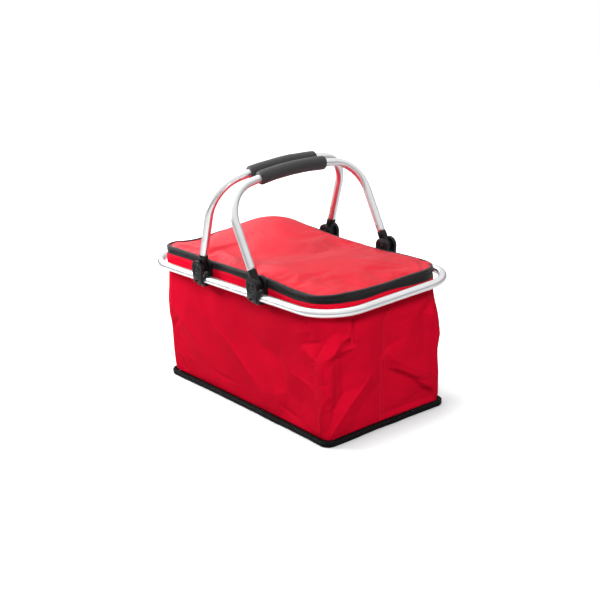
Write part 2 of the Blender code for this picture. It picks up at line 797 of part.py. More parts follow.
# ---------------------------------------------------------------- lid
# A fabric panel over foam and lining, all slightly crowned.
CROWN_RISE = 0.004
CROWN_RINGS = (1.0, 0.72, 0.40)  # shares of the lid's size


def crowned(name, inset, low, thickness, mat):
    """A rounded panel whose middle rises, thickened upward."""
    rows = []
    for share in CROWN_RINGS:
        ring = Footprint(*(size * share for size in TAPE.inset(inset)))
        z = low + CROWN_RISE * (1 - share * share)
        rows.append(at_height(rounded_rectangle(ring, 5), z))
    made = put(name, close_end(wall_mesh(rows), max), mat)
    modifier(made, "SOLIDIFY", "sheet", thickness=thickness, offset=1.0)
    shade(made)


lid_foam_z = LID_Z - GAP - FOAM_THICK
crowned("lid_panel", 0.0, LID_Z, SHELL_THICK, RED)
crowned("lid_foam", 0.0022, lid_foam_z, FOAM_THICK, FOAM)
crowned("lid_lining", 0.0026, lid_foam_z - GAP - LINING_THICK, LINING_THICK, FOIL)

# ---------------------------------------------------------------- zip slider
# The closed zip ends on the rear side, where the slider parks beside the lid's hinge.
SLIDER_X = -0.1270
SLIDER_HALF_LENGTH, SLIDER_HALF_HEIGHT, SLIDER_THICK = 0.0055, 0.0040, 0.0016
FACE_Y = TAPE.half_width + GAP
LOOP_Y = FACE_Y + 0.0033
LOOP_RADIUS, LOOP_HALF = 0.0006, 0.0030
POST_HALF_LENGTH, POST_HALF_HEIGHT, POST_LEVEL = 0.0009, 0.0006, 0.0025

slider = put(
    "zip_slider",
    box_mesh(
        (SLIDER_X - SLIDER_HALF_LENGTH, FACE_Y, TAPE_SPLIT - SLIDER_HALF_HEIGHT),
        (SLIDER_X + SLIDER_HALF_LENGTH, FACE_Y + SLIDER_THICK, TAPE_SPLIT + SLIDER_HALF_HEIGHT),
    ),
    STEEL,
)
loop_mesh = cylinder_mesh(
    LOOP_RADIUS,
    (SLIDER_X, LOOP_Y, TAPE_SPLIT - LOOP_HALF),
    (SLIDER_X, LOOP_Y, TAPE_SPLIT + LOOP_HALF),
    sides=10,
)
boolean(slider, put("join_loop", loop_mesh), "UNION")
for place, level in (("low", TAPE_SPLIT - POST_LEVEL), ("high", TAPE_SPLIT + POST_LEVEL)):
    post_mesh = box_mesh(
        (SLIDER_X - POST_HALF_LENGTH, FACE_Y + 0.0010, level - POST_HALF_HEIGHT),
        (SLIDER_X + POST_HALF_LENGTH, LOOP_Y + 0.0002, level + POST_HALF_HEIGHT),
    )
    boolean(slider, put("join_post_" + place, post_mesh), "UNION")

# ---------------------------------------------------------------- zip pull
# It hangs on the slider's loop and lies along +X.
PULL_THICK = 0.0016
PULL_OUTLINE = (  # distance from the loop, height
    (0.0004, -0.0012), (0.0180, -0.0026), (0.0196, -0.0014),
    (0.0196, 0.0014), (0.0180, 0.0026), (0.0004, 0.0012),
)

pull_axis = axis_empty("zip_pull_axis", (SLIDER_X, LOOP_Y, TAPE_SPLIT))
pull_mesh = upright(outline_mesh(PULL_OUTLINE, PULL_THICK), 0, 0, 0, 1)
pull = put("zip_pull", pull_mesh, BLACK_PLASTIC, pull_axis)
eye_mesh = cylinder_mesh(0.0015, (0, 0, -0.0012), (0, 0, 0.0012), sides=14)
boolean(pull, put("join_pull_eye", eye_mesh, parent=pull_axis), "UNION")
hole_mesh = cylinder_mesh(0.0008, (0, 0, -0.004), (0, 0, 0.004), sides=12)
boolean(pull, put("cut_pull_hole", hole_mesh, parent=pull_axis))
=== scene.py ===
"""Looks of an insulated shopping basket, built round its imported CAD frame.

Metres, +Z up, the floor at z = 0. X runs along the basket with +X its right end; -Y is the front
and +Y the rear, where the lid is hinged. The soft base stands turned a little under the rim, so
base, wall and lining are lofted from a turned base outline to the rim's mouth.
"""

import json
import math

import bpy
import numpy as np
from mathutils import Matrix, Vector
from mathutils.geometry import delaunay_2d_cdt

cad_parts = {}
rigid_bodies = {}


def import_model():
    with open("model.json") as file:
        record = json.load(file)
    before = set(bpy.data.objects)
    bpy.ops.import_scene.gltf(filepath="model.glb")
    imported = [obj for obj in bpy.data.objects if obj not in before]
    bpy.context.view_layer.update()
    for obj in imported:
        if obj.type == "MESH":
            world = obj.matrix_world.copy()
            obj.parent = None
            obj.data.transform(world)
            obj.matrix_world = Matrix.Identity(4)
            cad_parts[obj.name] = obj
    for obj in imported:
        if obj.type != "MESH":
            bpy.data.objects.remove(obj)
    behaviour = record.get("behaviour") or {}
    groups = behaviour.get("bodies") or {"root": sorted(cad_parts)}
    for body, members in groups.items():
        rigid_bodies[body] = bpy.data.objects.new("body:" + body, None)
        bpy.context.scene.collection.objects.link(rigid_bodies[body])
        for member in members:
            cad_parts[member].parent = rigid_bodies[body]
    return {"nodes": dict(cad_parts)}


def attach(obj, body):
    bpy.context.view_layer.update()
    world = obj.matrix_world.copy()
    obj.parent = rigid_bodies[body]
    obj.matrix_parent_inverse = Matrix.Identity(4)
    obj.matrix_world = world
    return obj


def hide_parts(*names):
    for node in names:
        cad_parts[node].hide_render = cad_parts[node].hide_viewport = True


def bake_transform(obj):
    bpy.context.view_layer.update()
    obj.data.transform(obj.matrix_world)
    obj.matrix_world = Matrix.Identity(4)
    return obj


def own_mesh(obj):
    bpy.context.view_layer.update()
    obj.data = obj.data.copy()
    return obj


cad_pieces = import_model()["nodes"]
bpy.context.view_layer.update()
scene = bpy.context.scene
for stray in list(bpy.data.objects):
    if stray.name in ("Cube", "Light", "Camera") and stray not in cad_pieces.values():
        bpy.data.objects.remove(stray, do_unlink=True)
scene.view_settings.view_transform = "Standard"
scene.view_settings.look = "None"

# ------------------------------------------------------------------ driving sizes
# _X and _Y of an outline are its half sizes
TUBE_R = 0.0065
RIM_X, RIM_Y, RIM_CORNER, RIM_Z = 0.2335, 0.1335, 0.065, 0.2100
PIVOT_X, PIVOT_Z = 0.0700, 0.2278  # where the handles turn
HANDLE_FOOT, HANDLE_TOP = 0.0238, 0.1585  # ends of the handle's rise, above its pivot
HANDLE_CORNER, HANDLE_ARCH = 0.058, math.radians(9.0)  # bend radius, half angle of the top arc
HANDLE_ARC_R = (RIM_Y - HANDLE_CORNER + HANDLE_CORNER * math.sin(HANDLE_ARCH)) / math.sin(HANDLE_ARCH)
LEAN_LEFT, LEAN_RIGHT = math.radians(19.5), math.radians(24.4)
GRIP_R, GRIP_HALF = 0.0109, 0.0655

MOUTH_X, MOUTH_Y = 0.2130, 0.1218
MOUTH_CORNER = np.array((0.046, 0.046, 0.042, 0.042))  # rear right, rear left, front left, front right
BASE_X, BASE_Y, BASE_CORNER = 0.2138, 0.1136, 0.013
TWIST = math.radians(-2.5)  # how far the soft base is turned under the rim
SHIFT_X, SHIFT_Y = -0.0030, -0.0030
DRAW_IN_X, DRAW_IN_Y = 0.010, 0.026  # share by which the base's sides draw in at their middles
WALL_LOW, WALL_TOP, WALL_ROWS = 0.0092, 0.2064, 128
TUCK = 0.0006  # how far the wall and the zip tape stand inside the mouth
CLOTH = 0.0009
TAPE_X, TAPE_Y, TAPE_CORNER = MOUTH_X - TUCK, MOUTH_Y - TUCK, MOUTH_CORNER - TUCK
TAPE_LOW, TAPE_SPLIT = 0.2188, 0.2282  # lower edge of the zip tape, and the line where it parts
LID_EDGE, LID_Z = 0.2380, 0.2365
LID_X, LID_Y, LID_CORNER = MOUTH_X - 0.0020, MOUTH_Y - 0.0020, MOUTH_CORNER - 0.0020
LID_COLUMNS, LID_ROWS = 134, 78
HEM_INSET = 0.0045
HINGE_HALF = 0.1180

# columns along a long side, a short end, and round a corner
X_STEPS, Y_STEPS, CORNER_STEPS = 170, 100, 20
COLUMNS = 2 * X_STEPS + 2 * Y_STEPS + 4 * CORNER_STEPS
LEFT_END = Y_STEPS + X_STEPS + 2 * CORNER_STEPS  # first column of the -X end

# ------------------------------------------------------------------ node materials


class Nodes:
    """Adds shader nodes to a tree; an input takes a value, a socket or a node's first output."""

    def __init__(self, tree):
        self.tree = tree

    def add(self, kind, options=None, **inputs):
        node = self.tree.nodes.new("ShaderNode" + kind)
        for key, value in (options or {}).items():
            setattr(node, key, value)
        for key, value in inputs.items():
            self.put(node.inputs[key], value)
        return node

    def put(self, socket, value):
        if isinstance(value, bpy.types.NodeSocket):
            self.tree.links.new(value, socket)
        elif isinstance(value, bpy.types.Node):
            self.tree.links.new(value.outputs[0], socket)
        else:
            socket.default_value = value

    def math(self, operation, a, b=0.0):
        node = self.add("Math", {"operation": operation})
        self.put(node.inputs[0], a)
        self.put(node.inputs[1], b)
        return node.outputs[0]

    def vector(self, operation, a, b=None):
        node = self.add("VectorMath", {"operation": operation})
        self.put(node.inputs[0], a)
        if b is not None:
            self.put(node.inputs[1], b)
        return node

    def mix(self, share, a, b):
        node = self.add("Mix", {"data_type": "RGBA"})
        self.put(node.inputs[0], share)
        self.put(node.inputs[6], a)
        self.put(node.inputs[7], b)
        return node.outputs[2]

    def ramp(self, value, span=(0.3, 0.7), to=(0.0, 1.0)):
        """The value mapped from one range to another, clamped."""
        node = self.add("MapRange", {"clamp": True})
        for socket, given in zip(node.inputs, (value, *span, *to)):
            self.put(socket, given)
        return node.outputs[0]

    def vary(self, value, a, b, span=(0.3, 0.7), to=(0.0, 1.0)):
        """Colour going from a to b as the value goes through a range."""
        return self.mix(self.ramp(value, span, to), a, b)

    def uv(self):
        return self.add("UVMap", {"uv_map": "UVMap"}).outputs[0]

    def uv_axes(self):
        return self.add("SeparateXYZ", Vector=self.uv()).outputs[:2]

    def mapped(self, vector, scale):
        return self.add("Mapping", Vector=vector, Scale=scale).outputs[0]

    def place(self, scale=(1, 1, 1)):
        return self.mapped(self.add("TexCoord").outputs["Object"], scale)

    def noise(self, vector, scale, detail=2.0, roughness=0.5, distortion=0.0):
        return self.add("TexNoise", Vector=vector, Scale=scale, Detail=detail, Roughness=roughness,
                        Distortion=distortion).outputs[0]

    def cells(self, vector, scale, feature="F1"):
        return self.add("TexVoronoi", {"feature": feature}, Vector=vector, Scale=scale).outputs[0]

    def bump(self, height, strength, distance, normal=None):
        node = self.add("Bump", Height=height, Strength=strength, Distance=distance)
        if normal is not None:
            self.put(node.inputs["Normal"], normal)
        return node.outputs[0]

    def scaled_sine(self, value, factor):
        return self.math("SINE", self.math("MULTIPLY", value, factor))

    def ribs(self, value, pitch):
        return self.math("ABSOLUTE", self.scaled_sine(value, math.pi / pitch))


class Surface(Nodes):
    """The node tree of a new material with a Principled shader."""

    def __init__(self, name):
        self.material = bpy.data.materials.new(name)
        self.material.use_nodes = True
        super().__init__(self.material.node_tree)

    def set(self, **inputs):
        shader = self.tree.nodes["Principled BSDF"]
        for key, value in inputs.items():
            self.put(shader.inputs[key.replace("_", " ")], value)
        return self.material


def rgb(r, g, b):
    return (r, g, b, 1.0)


def shade(base, factor=1.0, lift=0.0):
    return rgb(*[min(1.0, c * factor + lift) for c in base])


def weave_height(n, pitch):
    """Height of a plain weave, from the metre-scaled UV map."""
    u_axis, v_axis = n.uv_axes()
    u = n.math("MULTIPLY", u_axis, math.pi / pitch)
    v = n.math("MULTIPLY", v_axis, math.pi / pitch)
    warp = n.math("ABSOLUTE", n.math("SINE", u))
    weft = n.math("ABSOLUTE", n.math("SINE", v))
    check = n.math("MULTIPLY", n.scaled_sine(u, 1.0), n.scaled_sine(v, 1.0))
    over = n.ramp(check, span=(-0.2, 0.2))
    height = n.add("Mix", {"data_type": "FLOAT"})
    n.put(height.inputs[0], over)
    n.put(height.inputs[2], warp)
    n.put(height.inputs[3], weft)
    return height.outputs[0]


def cloth_material(name, base, rough, specular, sheen, sheen_rough, crumple):
    """Woven polyester: threads, slow colour drift and a soft crumple."""
    n = Surface(name)
    weave = weave_height(n, pitch=0.00055)
    space = n.place()
    slow = n.noise(space, scale=9.0, detail=3.0, roughness=0.55)
    fine = n.noise(space, scale=420.0, roughness=0.6)
    colour = n.vary(slow, shade(base, 0.9), shade(base, 1.1))
    colour = n.vary(weave, colour, shade(base, 0.55), span=(0.0, 1.0), to=(0.0, 0.16))
    colour = n.vary(fine, colour, shade(base, 1.6, lift=0.01), span=(0.35, 0.65), to=(0.0, 0.10))
    light = n.add("LightPath")
    grey = sum(base) / 3
    muted = rgb(grey * 0.75, grey * 0.45, grey * 0.45)  # what the cloth bounces onto its neighbours
    colour = n.mix(light.outputs["Is Diffuse Ray"], colour, muted)
    soft = n.noise(space, scale=70.0, detail=4.0, roughness=0.6)
    normal = n.bump(soft, strength=crumple, distance=0.0012)
    normal = n.bump(weave, strength=0.5, distance=0.00012, normal=normal)
    normal = n.bump(fine, strength=0.25, distance=0.00012, normal=normal)
    return n.set(
        Base_Color=colour,
        Roughness=n.ramp(fine, span=(0.2, 0.8), to=(rough - 0.06, rough + 0.08)),
        Specular_IOR_Level=specular,
        Sheen_Weight=sheen,
        Sheen_Roughness=sheen_rough,
        Sheen_Tint=rgb(1.0, 1.0, 1.0),
        Normal=normal,
    )


def ribbed_material(name, base, pitch, rough, specular, sheen, relief):
    """Woven tape with ribs running across it."""
    n = Surface(name)
    u, v = n.uv_axes()
    ribs = n.ribs(u, pitch)
    cords = n.ribs(v, pitch=0.0008)
    height = n.math("ADD", ribs, n.math("MULTIPLY", cords, 0.45))
    space = n.place()
    slow = n.noise(space, scale=30.0, detail=3.0, roughness=0.6)
    fuzz = n.noise(space, scale=900.0, roughness=0.6)
    colour = n.vary(slow, shade(base, 0.75), shade(base, 1.35))
    colour = n.vary(height, shade(base, 0.4), colour, span=(0.2, 1.3), to=(0.0, 0.5))
    colour = n.vary(fuzz, colour, shade(base, 2.6, lift=0.004), span=(0.45, 0.75), to=(0.0, 0.35))
    normal = n.bump(height, strength=relief, distance=0.00022)
    normal = n.bump(fuzz, strength=0.3, distance=0.00012, normal=normal)
    return n.set(
        Base_Color=colour,
        Roughness=n.ramp(fuzz, span=(0.2, 0.8), to=(rough - 0.08, rough + 0.1)),
        Specular_IOR_Level=specular,
        Sheen_Weight=sheen,
        Sheen_Roughness=0.4,
        Normal=normal,
    )


def aluminium_material(name):
    """Satin drawn aluminium: hairlines along the tube, faint handling marks, a clear top coat."""
    n = Surface(name)
    lines = n.noise(n.mapped(n.uv(), (14.0, 2600.0, 1.0)), scale=1.0, detail=3.0, roughness=0.6)
    smudge = n.noise(n.place(), scale=38.0, detail=4.0, roughness=0.6)
    specks = n.noise(n.place(), scale=900.0)
    colour = n.vary(smudge, rgb(0.90, 0.905, 0.915), rgb(0.82, 0.825, 0.835), span=(0.3, 0.75))
    colour = n.vary(specks, colour, rgb(0.60, 0.60, 0.61), span=(0.66, 0.8), to=(0.0, 0.25))
    line_rough = n.ramp(lines, span=(0.25, 0.75), to=(0.26, 0.34))
    smudge_rough = n.ramp(smudge, span=(0.35, 0.8), to=(0.0, 0.07))
    return n.set(
        Base_Color=colour,
        Metallic=1.0,
        Roughness=n.math("ADD", line_rough, smudge_rough),
        Normal=n.bump(lines, strength=0.10, distance=0.00003),
        Coat_Weight=0.15,
        Coat_Roughness=0.12,
    )


def steel_material(name):
    n = Surface(name)
    space = n.place()
    grain = n.noise(space, scale=1500.0, roughness=0.6)
    slow = n.noise(space, scale=160.0, detail=3.0, roughness=0.6)
    return n.set(
        Base_Color=n.vary(slow, rgb(0.52, 0.52, 0.53), rgb(0.66, 0.66, 0.67)),
        Metallic=1.0,
        Roughness=n.ramp(grain, to=(0.26, 0.42)),
        Normal=n.bump(grain, strength=0.15, distance=0.00004),
    )


def plastic_material(name, base, rough, grain, edge_radius):
    """Moulded nylon: fine grain, flow streaks, softened edges."""
    n = Surface(name)
    pits = n.noise(n.place(), scale=1700.0, detail=3.0, roughness=0.65)
    streak = n.noise(n.place((1.0, 1.0, 0.25)), scale=240.0, detail=3.0, roughness=0.6)
    colour = n.vary(streak, shade(base, 0.8), shade(base, 1.5))
    colour = n.vary(pits, colour, shade(base, 3.0), span=(0.6, 0.85), to=(0.0, 0.3))
    edge = n.add("Bevel", {"samples": 4}, Radius=edge_radius)
    normal = n.bump(pits, strength=grain, distance=0.00006, normal=edge.outputs[0])
    pit_rough = n.ramp(pits, to=(rough - 0.05, rough + 0.08))
    streak_rough = n.ramp(streak, to=(-0.03, 0.05))
    return n.set(
        Base_Color=colour,
        Roughness=n.math("ADD", pit_rough, streak_rough),
        Specular_IOR_Level=0.28,
        Normal=normal,
    )


def grip_material(name):
    """Closed-cell foam sleeve."""
    n = Surface(name)
    space = n.place()
    cells = n.cells(space, scale=1500.0)
    slow = n.noise(space, scale=60.0, detail=4.0, roughness=0.6)
    colour = n.vary(slow, rgb(0.018, 0.017, 0.019), rgb(0.030, 0.029, 0.031))
    colour = n.vary(cells, colour, rgb(0.042, 0.041, 0.043), span=(0.15, 0.6), to=(0.0, 0.4))
    normal = n.bump(slow, strength=0.5, distance=0.0009)
    normal = n.bump(cells, strength=0.35, distance=0.00012, normal=normal)
    return n.set(
        Base_Color=colour,
        Roughness=n.ramp(slow, to=(0.46, 0.60)),
        Specular_IOR_Level=0.45,
        Sheen_Weight=0.1,
        Normal=normal,
    )


def foil_material(name):
    """Aluminised film: bright, creased, with a fine pressed pattern."""
    n = Surface(name)
    space = n.place()
    creases = n.cells(space, scale=48.0, feature="DISTANCE_TO_EDGE")
    slow = n.noise(space, scale=26.0, detail=5.0, roughness=0.6, distortion=0.8)
    u, v = n.uv_axes()
    pressing = math.pi / 0.0030  # a 3 mm pattern
    press = n.math("MULTIPLY", n.scaled_sine(u, pressing), n.scaled_sine(v, pressing))
    colour = n.vary(slow, rgb(0.60, 0.61, 0.63), rgb(0.80, 0.81, 0.82))
    normal = n.bump(slow, strength=0.9, distance=0.0022)
    sharp = n.ramp(creases, span=(0.0, 0.12))
    normal = n.bump(sharp, strength=0.35, distance=0.0006, normal=normal)
    normal = n.bump(press, strength=0.4, distance=0.00022, normal=normal)
    return n.set(Base_Color=colour, Metallic=0.85, Roughness=n.ramp(slow, to=(0.26, 0.40)),
                 Normal=normal)


def board_material(name, base):
    n = Surface(name)
    space = n.place()
    cells = n.cells(space, scale=700.0)
    slow = n.noise(space, scale=40.0, detail=3.0, roughness=0.6)
    colour = n.vary(slow, shade(base, 0.94), shade(base))
    colour = n.vary(cells, colour, shade(base, 0.7), span=(0.0, 0.5), to=(0.25, 0.0))
    return n.set(Base_Color=colour, Roughness=0.85, Specular_IOR_Level=0.25,
                 Normal=n.bump(cells, strength=0.5, distance=0.0003))


def thread_material(name, base):
    n = Surface(name)
    twist = n.noise(n.place(), scale=2200.0)
    colour = n.vary(twist, shade(base, 0.7), shade(base, 1.25))
    return n.set(Base_Color=colour, Roughness=0.55, Specular_IOR_Level=0.35, Sheen_Weight=0.2,
                 Normal=n.bump(twist, strength=0.4, distance=0.0001))


RED = cloth_material("red_polyester_weave", (0.86, 0.0042, 0.030), rough=0.55, specular=0.012,
                     sheen=0.0, sheen_rough=0.35, crumple=0.35)
LID_RED = cloth_material("red_polyester_lid", (0.82, 0.009, 0.030), rough=0.38, specular=0.19,
                         sheen=0.02, sheen_rough=0.30, crumple=0.30)
BINDING = ribbed_material("black_binding_ribbed", (0.0036, 0.0034, 0.0038), pitch=0.0011,
                          rough=0.62, specular=0.08, sheen=0.03, relief=0.8)
ZIP_TAPE = ribbed_material("black_zip_tape", (0.008, 0.0085, 0.009), pitch=0.0009,
                           rough=0.55, specular=0.2, sheen=0.15, relief=0.6)
ALUMINIUM = aluminium_material("satin_aluminium_drawn")
STEEL = steel_material("zinc_steel_fine")
PLASTIC = plastic_material("black_nylon_moulded", (0.006, 0.006, 0.007), rough=0.34, grain=0.35,
                           edge_radius=0.00045)
COIL = plastic_material("zip_coil_nylon", (0.020, 0.020, 0.022), rough=0.30, grain=0.2,
                        edge_radius=0.0001)
GRIP = grip_material("foam_grip_closed_cell")
FOIL = foil_material("silver_foil_lining")
BOARD = board_material("base_board_fibre", (0.16, 0.16, 0.17))
RED_THREAD = thread_material("red_thread", (0.62, 0.012, 0.035))
BLACK_THREAD = thread_material("black_thread", (0.016, 0.016, 0.018))

# ------------------------------------------------------------------ mesh helpers


def put(name, verts, faces, material, uv=None):
    mesh = bpy.data.meshes.new(name)
    mesh.from_pydata(np.asarray(verts, float).tolist(), [], [list(map(int, f)) for f in faces])
    mesh.materials.append(material)
    if uv is not None:
        layer = mesh.uv_layers.new(name="UVMap")
        layer.data.foreach_set("uv", np.asarray(uv, np.float32).ravel())
    mesh.polygons.foreach_set("use_smooth", [True] * len(mesh.polygons))
    mesh.validate()
    mesh.update()
    obj = bpy.data.objects.new(name, mesh)
    scene.collection.objects.link(obj)
    return obj


def register(piece, slot, *replaced):
    if replaced:
        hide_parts(*replaced)


def join(name, parts):
    bpy.ops.object.select_all(action="DESELECT")
    for part in parts:
        part.select_set(True)
    bpy.context.view_layer.objects.active = parts[0]
    bpy.ops.object.join()
    parts[0].name = name
    parts[0].data.name = name
    return parts[0]


def unit(v):
    return v / np.maximum(np.linalg.norm(v, axis=-1, keepdims=True), 1e-12)


def run_length(points, axis=0):
    """Distance travelled along an axis of a grid of points, from 0."""
    steps = np.linalg.norm(np.diff(points, axis=axis), axis=-1)
    return np.insert(np.cumsum(steps, axis=axis), 0, 0.0, axis=axis)


def sample(marks, distance, points):
    """Values of each column of points where its distance reaches the marks."""
    return np.stack([np.interp(marks, distance, column) for column in points.T], -1)


def zero_uv(faces):
    return [[0.0, 0.0]] * sum(len(face) for face in faces)


def sweep(name, points, material, closed=True, flip=False):
    """A closed skin over a grid: rows go round the section, columns along the path.
    An open path gets end caps."""
    points = np.asarray(points, float)
    rows, columns = points.shape[:2]
    last = columns if closed else columns - 1
    row, column = np.meshgrid(np.arange(rows), np.arange(last), indexing="ij")
    corner_row = np.stack([row, row, row + 1, row + 1], -1).reshape(-1, 4)
    corner_column = np.stack([column, column + 1, column + 1, column], -1).reshape(-1, 4)
    if flip:
        corner_row, corner_column = corner_row[:, ::-1], corner_column[:, ::-1]
    faces = ((corner_row % rows) * columns + corner_column % columns).tolist()
    wrapped = np.concatenate([points, points[:1]])
    if closed:
        wrapped = np.concatenate([wrapped, wrapped[:, :1]], axis=1)
    u = run_length(wrapped, axis=1).mean(axis=0)
    v = run_length(wrapped, axis=0).mean(axis=1)
    uv = np.stack([u[corner_column], v[corner_row]], -1).reshape(-1, 2).tolist()
    if not closed:
        start = [r * columns for r in range(rows)]
        end = [r * columns + columns - 1 for r in range(rows)]
        if flip:
            start, end = start[::-1], end[::-1]
        caps = [start, end[::-1]]
        faces += caps
        uv += zero_uv(caps)
    return put(name, points.reshape(-1, 3), faces, material, uv)


def tube_rings(path, radius, sides, up, closed=False):
    """Rings (sides, path, 3) round a path; the radius may vary over (side, place)."""
    path = np.asarray(path, float)
    if closed:
        tangent = unit(np.roll(path, -1, 0) - np.roll(path, 1, 0))
    else:
        tangent = unit(np.gradient(path, axis=0))
    across = unit(np.cross(tangent, np.asarray(up, float)))
    top = np.cross(across, tangent)
    angle = (np.arange(sides) * 2 * math.pi / sides)[:, None, None]
    radius = np.broadcast_to(radius, (sides, len(path)))[..., None]
    return path[None] + radius * (np.cos(angle) * across[None] + np.sin(angle) * top[None])


def outline(half_x, half_y, corner, x_steps=X_STEPS, y_steps=Y_STEPS, corner_steps=CORNER_STEPS):
    """Points and outward normals of a rounded rectangle, anticlockwise from the front of its +X end.
    The same column of two outlines is the same place on the basket. The corner is one radius,
    or four: rear right, rear left, front left, front right."""
    rear_right, rear_left, front_left, front_right = np.broadcast_to(corner, 4)
    points, normals = [], []

    def straight(start, end, steps, normal):
        share = (np.arange(steps) / steps)[:, None]
        points.append(np.array(start) + (np.array(end) - np.array(start)) * share)
        normals.append(np.tile(np.array(normal, float), (steps, 1)))

    def arc(x, y, radius, start):
        angles = [start + math.pi / 2 * k / corner_steps for k in range(corner_steps)]
        facing = np.array([(math.cos(t), math.sin(t)) for t in angles])
        points.append(np.array((x, y)) + radius * facing)
        normals.append(facing)

    x, y = half_x, half_y
    straight((x, -(y - front_right)), (x, y - rear_right), y_steps, (1, 0))
    arc(x - rear_right, y - rear_right, rear_right, 0.0)
    straight((x - rear_right, y), (-(x - rear_left), y), x_steps, (0, 1))
    arc(-(x - rear_left), y - rear_left, rear_left, math.pi / 2)
    straight((-x, y - rear_left), (-x, -(y - front_left)), y_steps, (-1, 0))
    arc(-(x - front_left), -(y - front_left), front_left, math.pi)
    straight((-(x - front_left), -y), (x - front_right, -y), x_steps, (0, -1))
    arc(x - front_right, -(y - front_right), front_right, 1.5 * math.pi)
    return np.concatenate(points), np.concatenate(normals)


def beside(edge, out, z):
    """Points of an (outline, normals) pair moved outwards and set at a height; both may vary."""
    points, normals = edge
    flat = points + normals * np.broadcast_to(out, len(points))[:, None]
    return np.column_stack([flat, np.broadcast_to(z, len(points))])


def level(normals):
    return np.column_stack([normals, np.zeros(len(normals))])


def span_sides(front, rear, left, right):
    """A grid blended between four borders; front and rear run to +X, left and right to +Y."""
    trail = (1,) * (front.ndim - 1)
    u = np.linspace(0, 1, len(front)).reshape((1, -1) + trail)
    v = np.linspace(0, 1, len(left)).reshape((-1, 1) + trail)
    return (
        (1 - v) * front[None] + v * rear[None] + (1 - u) * left[:, None] + u * right[:, None]
        - ((1 - u) * (1 - v) * front[0] + u * (1 - v) * front[-1]
           + (1 - u) * v * rear[0] + u * v * rear[-1])
    )


def rounded_grid(half_x, half_y, corner, columns, rows):
    """A grid of (x, y) filling a rounded rectangle, its corners at the middles of the arcs."""
    x_steps, y_steps, corner_steps = 400, 300, 120
    edge, _ = outline(half_x, half_y, corner, x_steps, y_steps, corner_steps)
    rear_right = y_steps + corner_steps // 2
    rear_left = rear_right + corner_steps + x_steps
    front_left = rear_left + corner_steps + y_steps
    front_right = front_left + corner_steps + x_steps

    def side(first, last, samples, count):
        index = np.linspace(first, last, samples)
        low = np.floor(index).astype(int)
        part = (index - low)[:, None]
        curve = edge[low % len(edge)] * (1 - part) + edge[(low + 1) % len(edge)] * part
        distance = run_length(curve)
        return sample(np.linspace(0, distance[-1], count), distance, curve)

    front = side(front_left, front_right, 900, columns)
    rear = side(rear_right, rear_left, 900, columns)[::-1]
    right = side(front_right, rear_right + len(edge), 700, rows)
    left = side(rear_left, front_left, 700, rows)[::-1]
    return span_sides(front, rear, left, right)


def grid_quads(rows, columns):
    index = np.arange(rows * columns).reshape(rows, columns)
    corners = [index[:-1, :-1], index[:-1, 1:], index[1:, 1:], index[1:, :-1]]
    return np.stack(corners, -1).reshape(-1, 4)


def grid_border(rows, columns):
    """Indices round a grid's border, anticlockwise."""
    index = np.arange(rows * columns).reshape(rows, columns)
    return np.concatenate([index[0, :-1], index[:-1, -1], index[-1, :0:-1], index[:0:-1, 0]])


def closed_sheet(name, top, bottom, material, edge_rings=()):
    """Two grids joined round their borders, through any rings given for the edge between."""
    quads = grid_quads(*top.shape[:2])
    border = grid_border(*top.shape[:2])
    size = top.shape[0] * top.shape[1]
    verts = np.concatenate([top.reshape(-1, 3), bottom.reshape(-1, 3), *edge_rings])
    faces = quads.tolist() + (quads[:, ::-1] + size).tolist()
    rings = [2 * size + k * len(border) + np.arange(len(border)) for k in range(len(edge_rings))]
    chain = [border, *rings, border + size]
    for upper, lower in zip(chain[:-1], chain[1:]):
        for k in range(len(border)):
            m = (k + 1) % len(border)
            faces.append([upper[m], upper[k], lower[k], lower[m]])
    uv = [[verts[i][0], verts[i][1]] for face in faces for i in face]
    return put(name, verts, faces, material, uv)


def bead_faces(start, sides, flip=False):
    """Faces of a bead: four stacked rings of vertices with both ends closed."""
    faces = []
    for ring in range(3):
        for side in range(sides):
            a = start + ring * sides + side
            b = start + ring * sides + (side + 1) % sides
            faces.append([a, a + sides, b + sides, b] if flip else [a, b, b + sides, a + sides])
    first = list(range(start, start + sides))
    last = list(range(start + 3 * sides, start + 4 * sides))
    return faces + ([first, last[::-1]] if flip else [first[::-1], last])


# ------------------------------------------------------------------ shaping helpers


def soft_step(t):
    t = np.clip(t, 0, 1)
    return t * t * (3 - 2 * t)


def smooth_noise(shape, cells, seed, closed=True):
    """Low-frequency noise on a grid, about -1 to 1, periodic along its columns when closed."""
    rows, columns = shape
    size = (cells[0] + 3, cells[1] + (0 if closed else 3))
    knots = np.random.default_rng(seed).normal(size=size)
    y = np.linspace(0, cells[0], rows)
    x = np.arange(columns) / columns * cells[1] if closed else np.linspace(0, cells[1], columns)

    def basis(t):
        f = t - np.floor(t)
        return np.stack([
            (1 - f) ** 3, 3 * f ** 3 - 6 * f ** 2 + 4, -3 * f ** 3 + 3 * f ** 2 + 3 * f + 1, f ** 3,
        ], -1) / 6

    row_basis, column_basis = basis(y), basis(x)
    first_row, first_column = np.floor(y).astype(int), np.floor(x).astype(int)
    out = np.zeros(shape)
    for a in range(4):
        for b in range(4):
            r = np.clip(first_row + a, 0, size[0] - 1)
            c = first_column + b
            c = c % size[1] if closed else np.clip(c, 0, size[1] - 1)
            out += row_basis[:, a][:, None] * column_basis[:, b][None] * knots[r][:, c]
    return out * 1.4


def noise_line(cells, seed, count=COLUMNS, closed=True):
    return smooth_noise((1, count), (1, cells), seed, closed)[0]


def waves(xy, size, seed):
    """Smooth random height over a panel."""
    x, y = xy[..., 0], xy[..., 1]
    random = np.random.default_rng(seed)
    out = np.zeros_like(x)
    for _ in range(14):
        k = random.normal(size=2) * 2 * math.pi / size
        out += np.sin(k[0] * x + k[1] * y + random.uniform(0, 7))
    return out / 5.0


